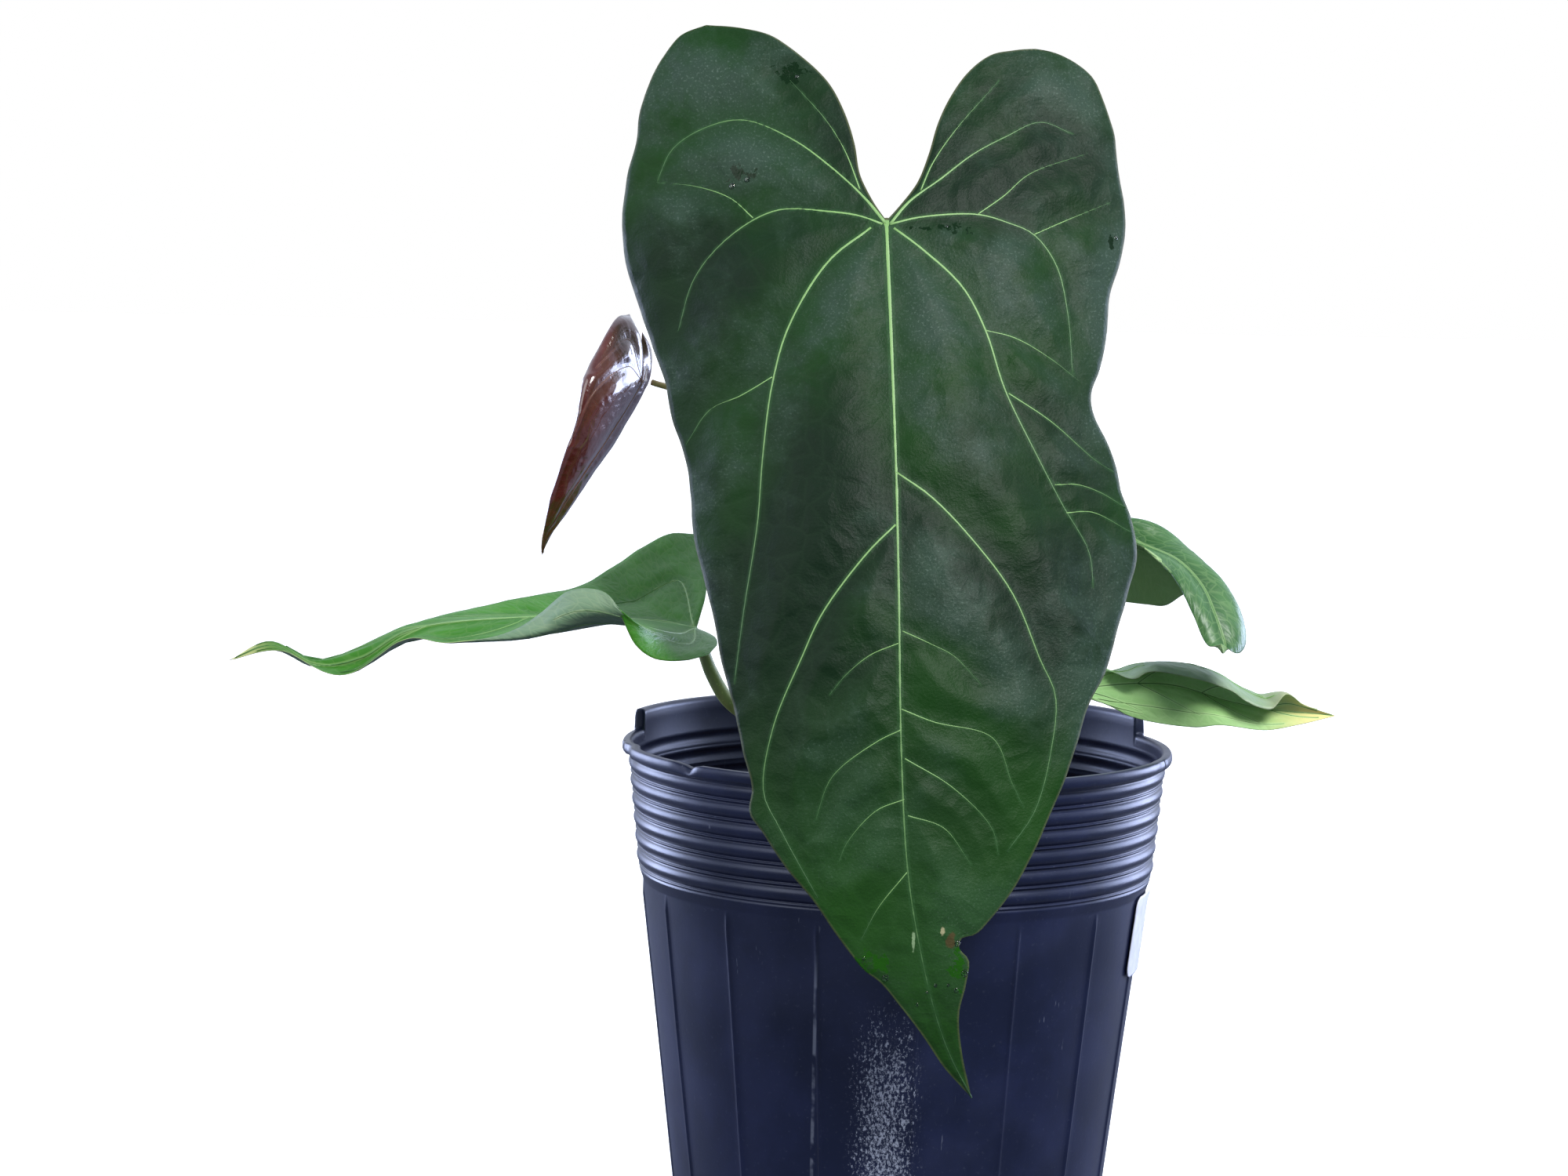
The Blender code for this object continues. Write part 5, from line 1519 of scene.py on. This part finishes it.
def add_camera(settings):
    """The camera in front of the pot, a little above it, tipped down and rolled slightly."""
    low, high = box_mm("pot_shell")
    base = Vector(((low[0] + high[0]) / 2, (low[1] + high[1]) / 2, low[2])) * MM
    data = bpy.data.cameras.new("camera")
    data.sensor_width = 36.0
    data.lens = settings.lens
    data.clip_start = 0.01
    data.clip_end = 50.0
    camera = bpy.data.objects.new("camera", data)
    bpy.context.scene.collection.objects.link(camera)
    pitch, roll = settings.pitch, settings.roll
    ahead = Vector((0.0, math.cos(pitch), -math.sin(pitch)))
    right = Vector((1.0, 0.0, 0.0))
    up = right.cross(ahead)
    turned_right = math.cos(roll) * right + math.sin(roll) * up
    turned_up = -math.sin(roll) * right + math.cos(roll) * up
    axes = Matrix((turned_right, turned_up, -ahead)).transposed()
    place = base + Vector((settings.aside, -settings.distance, settings.height))
    camera.matrix_world = Matrix.Translation(place) @ axes.to_4x4()
    bpy.context.scene.camera = camera


# The add-on -------------------------------------------------------------------------------------


def tone(name, description, value):
    """A colour setting."""
    return bpy.props.FloatVectorProperty(name=name, description=description, default=value, size=3,
                                         subtype="COLOR", min=0.0, max=1.0)


def length(name, description, millimetres):
    """A length setting, kept in metres."""
    return bpy.props.FloatProperty(name=name, description=description, default=millimetres * MM,
                                   min=0.0, precision=5, unit="LENGTH")


def power(name, description, watts):
    """A lamp's power setting."""
    return bpy.props.FloatProperty(name=name, description=description, default=watts, min=0.0,
                                   unit="POWER")


class ANTHURIUM_PG_leaf(bpy.types.PropertyGroup):
    """The large leaf."""

    thickness: length("Thickness", "From its face to its back, away from the margin", 0.7)
    swell: length("Swell", "How far the blade stands out between its veins", 2.0)
    vein_rise: length("Vein rise", "How far the veins stand out", 0.4)
    deep: tone("Deep green", "The velvet where no nap catches the light", (0.004, 0.030, 0.003))
    # The nap colour is painted sheen: the grey-green the velvet shows where it catches the light.
    painted_sheen: tone("Nap", "The grey-green of the velvet's nap", (0.022, 0.045, 0.030))
    vein: tone("Vein", "The veins where they leave the joint", (0.17, 0.32, 0.10))
    vein_end: tone("Vein end", "The veins at the margin", (0.035, 0.105, 0.03))


class ANTHURIUM_PG_pot(bpy.types.PropertyGroup):
    """The pot."""

    plastic: tone("Plastic", "The pot's colour", (0.003, 0.0055, 0.022))
    haze: tone("Haze", "The pot's colour where it is hazed", (0.006, 0.0095, 0.040))
    label: tone("Label", "The blank label's colour", (0.72, 0.75, 0.86))


class ANTHURIUM_PG_stage(bpy.types.PropertyGroup):
    """The camera and the lights."""

    lens: bpy.props.FloatProperty(
        name="Lens", description="Focal length", default=85.0, subtype="DISTANCE_CAMERA")
    distance: length("Distance", "From the pot's axis to the camera", 1002.2)
    aside: bpy.props.FloatProperty(
        name="Aside", description="Camera's offset along X", default=-0.0316, unit="LENGTH")
    height: length("Height", "Camera's height over the pot's foot", 295.5)
    pitch: bpy.props.FloatProperty(
        name="Pitch", description="Tilt downwards", default=math.radians(5.338), subtype="ANGLE")
    roll: bpy.props.FloatProperty(
        name="Roll", description="Turn about the view", default=math.radians(1.107), subtype="ANGLE")
    surround: bpy.props.FloatProperty(
        name="Surround", description="Strength of the white surround", default=1.0)
    key_power: power("Key", "Power of the main lamp", 34.0)
    fill_power: power("Fill", "Power of the side lamp", 9.0)
    flank_power: power("Flank", "Power of the two cool lamps behind", 17.0)


class Builder:
    """What the operators share."""

    bl_options = {"REGISTER", "UNDO"}


class ANTHURIUM_OT_pot(Builder, bpy.types.Operator):
    """Build the pot and its label"""

    bl_idname = "anthurium.pot"
    bl_label = "Pot"

    def execute(self, context):
        build_pot(context.scene.anthurium_pot)
        build_label(context.scene.anthurium_pot)
        return {"FINISHED"}


class ANTHURIUM_OT_mix(Builder, bpy.types.Operator):
    """Build the potting mix and what lies on it"""

    bl_idname = "anthurium.mix"
    bl_label = "Mix"

    def execute(self, context):
        build_mix_bed()
        build_loose_pieces()
        build_mix_crumbs()
        return {"FINISHED"}


class ANTHURIUM_OT_crown(Builder, bpy.types.Operator):
    """Build the crown, its scales and its roots"""

    bl_idname = "anthurium.crown"
    bl_label = "Crown"

    def execute(self, context):
        build_crown()
        build_dry_scales()
        build_surface_roots()
        return {"FINISHED"}


class ANTHURIUM_OT_stalks(Builder, bpy.types.Operator):
    """Build the leaf stalks"""

    bl_idname = "anthurium.stalks"
    bl_label = "Stalks"

    def execute(self, context):
        build_stalks()
        return {"FINISHED"}


class ANTHURIUM_OT_main_leaf(Builder, bpy.types.Operator):
    """Build the large velvet leaf"""

    bl_idname = "anthurium.main_leaf"
    bl_label = "Large leaf"

    def execute(self, context):
        build_main_leaf(context.scene.anthurium_leaf)
        return {"FINISHED"}


class ANTHURIUM_OT_small_leaves(Builder, bpy.types.Operator):
    """Build the four smaller leaves"""

    bl_idname = "anthurium.small_leaves"
    bl_label = "Small leaves"

    def execute(self, context):
        build_left_leaf()
        build_young_leaf()
        build_right_upper_leaf()
        build_right_lower_leaf()
        return {"FINISHED"}


class ANTHURIUM_OT_stage(Builder, bpy.types.Operator):
    """Set the floor, the lights and the camera"""

    bl_idname = "anthurium.stage"
    bl_label = "Stage"

    def execute(self, context):
        build_stage(context.scene.anthurium_stage)
        return {"FINISHED"}


OPERATORS = (ANTHURIUM_OT_pot, ANTHURIUM_OT_mix, ANTHURIUM_OT_crown, ANTHURIUM_OT_stalks,
             ANTHURIUM_OT_main_leaf, ANTHURIUM_OT_small_leaves, ANTHURIUM_OT_stage)


class ANTHURIUM_PT_panel(bpy.types.Panel):
    """The steps that build the plant, in order."""

    bl_idname = "ANTHURIUM_PT_panel"
    bl_label = "Potted Anthurium"
    bl_space_type = "VIEW_3D"
    bl_region_type = "UI"
    bl_category = "Anthurium"

    def draw(self, context):
        for operator in OPERATORS:
            self.layout.operator(operator.bl_idname)
        for name, kind in SETTINGS.items():
            for field in kind.__annotations__:
                self.layout.prop(getattr(context.scene, name), field)


SETTINGS = {"anthurium_leaf": ANTHURIUM_PG_leaf, "anthurium_pot": ANTHURIUM_PG_pot,
            "anthurium_stage": ANTHURIUM_PG_stage}
CLASSES = (*SETTINGS.values(), *OPERATORS, ANTHURIUM_PT_panel)


def register():
    """Adds the classes and the scene's settings."""
    for made in CLASSES:
        bpy.utils.register_class(made)
    for name, kind in SETTINGS.items():
        setattr(bpy.types.Scene, name, bpy.props.PointerProperty(type=kind))


def unregister():
    """Takes them away again."""
    for name in SETTINGS:
        delattr(bpy.types.Scene, name)
    for made in reversed(CLASSES):
        bpy.utils.unregister_class(made)


def main():
    """Builds everything in order."""
    register()
    for operator in OPERATORS:
        group, name = operator.bl_idname.split(".")
        getattr(getattr(bpy.ops, group), name)()


if __name__ == "__main__":
    main()
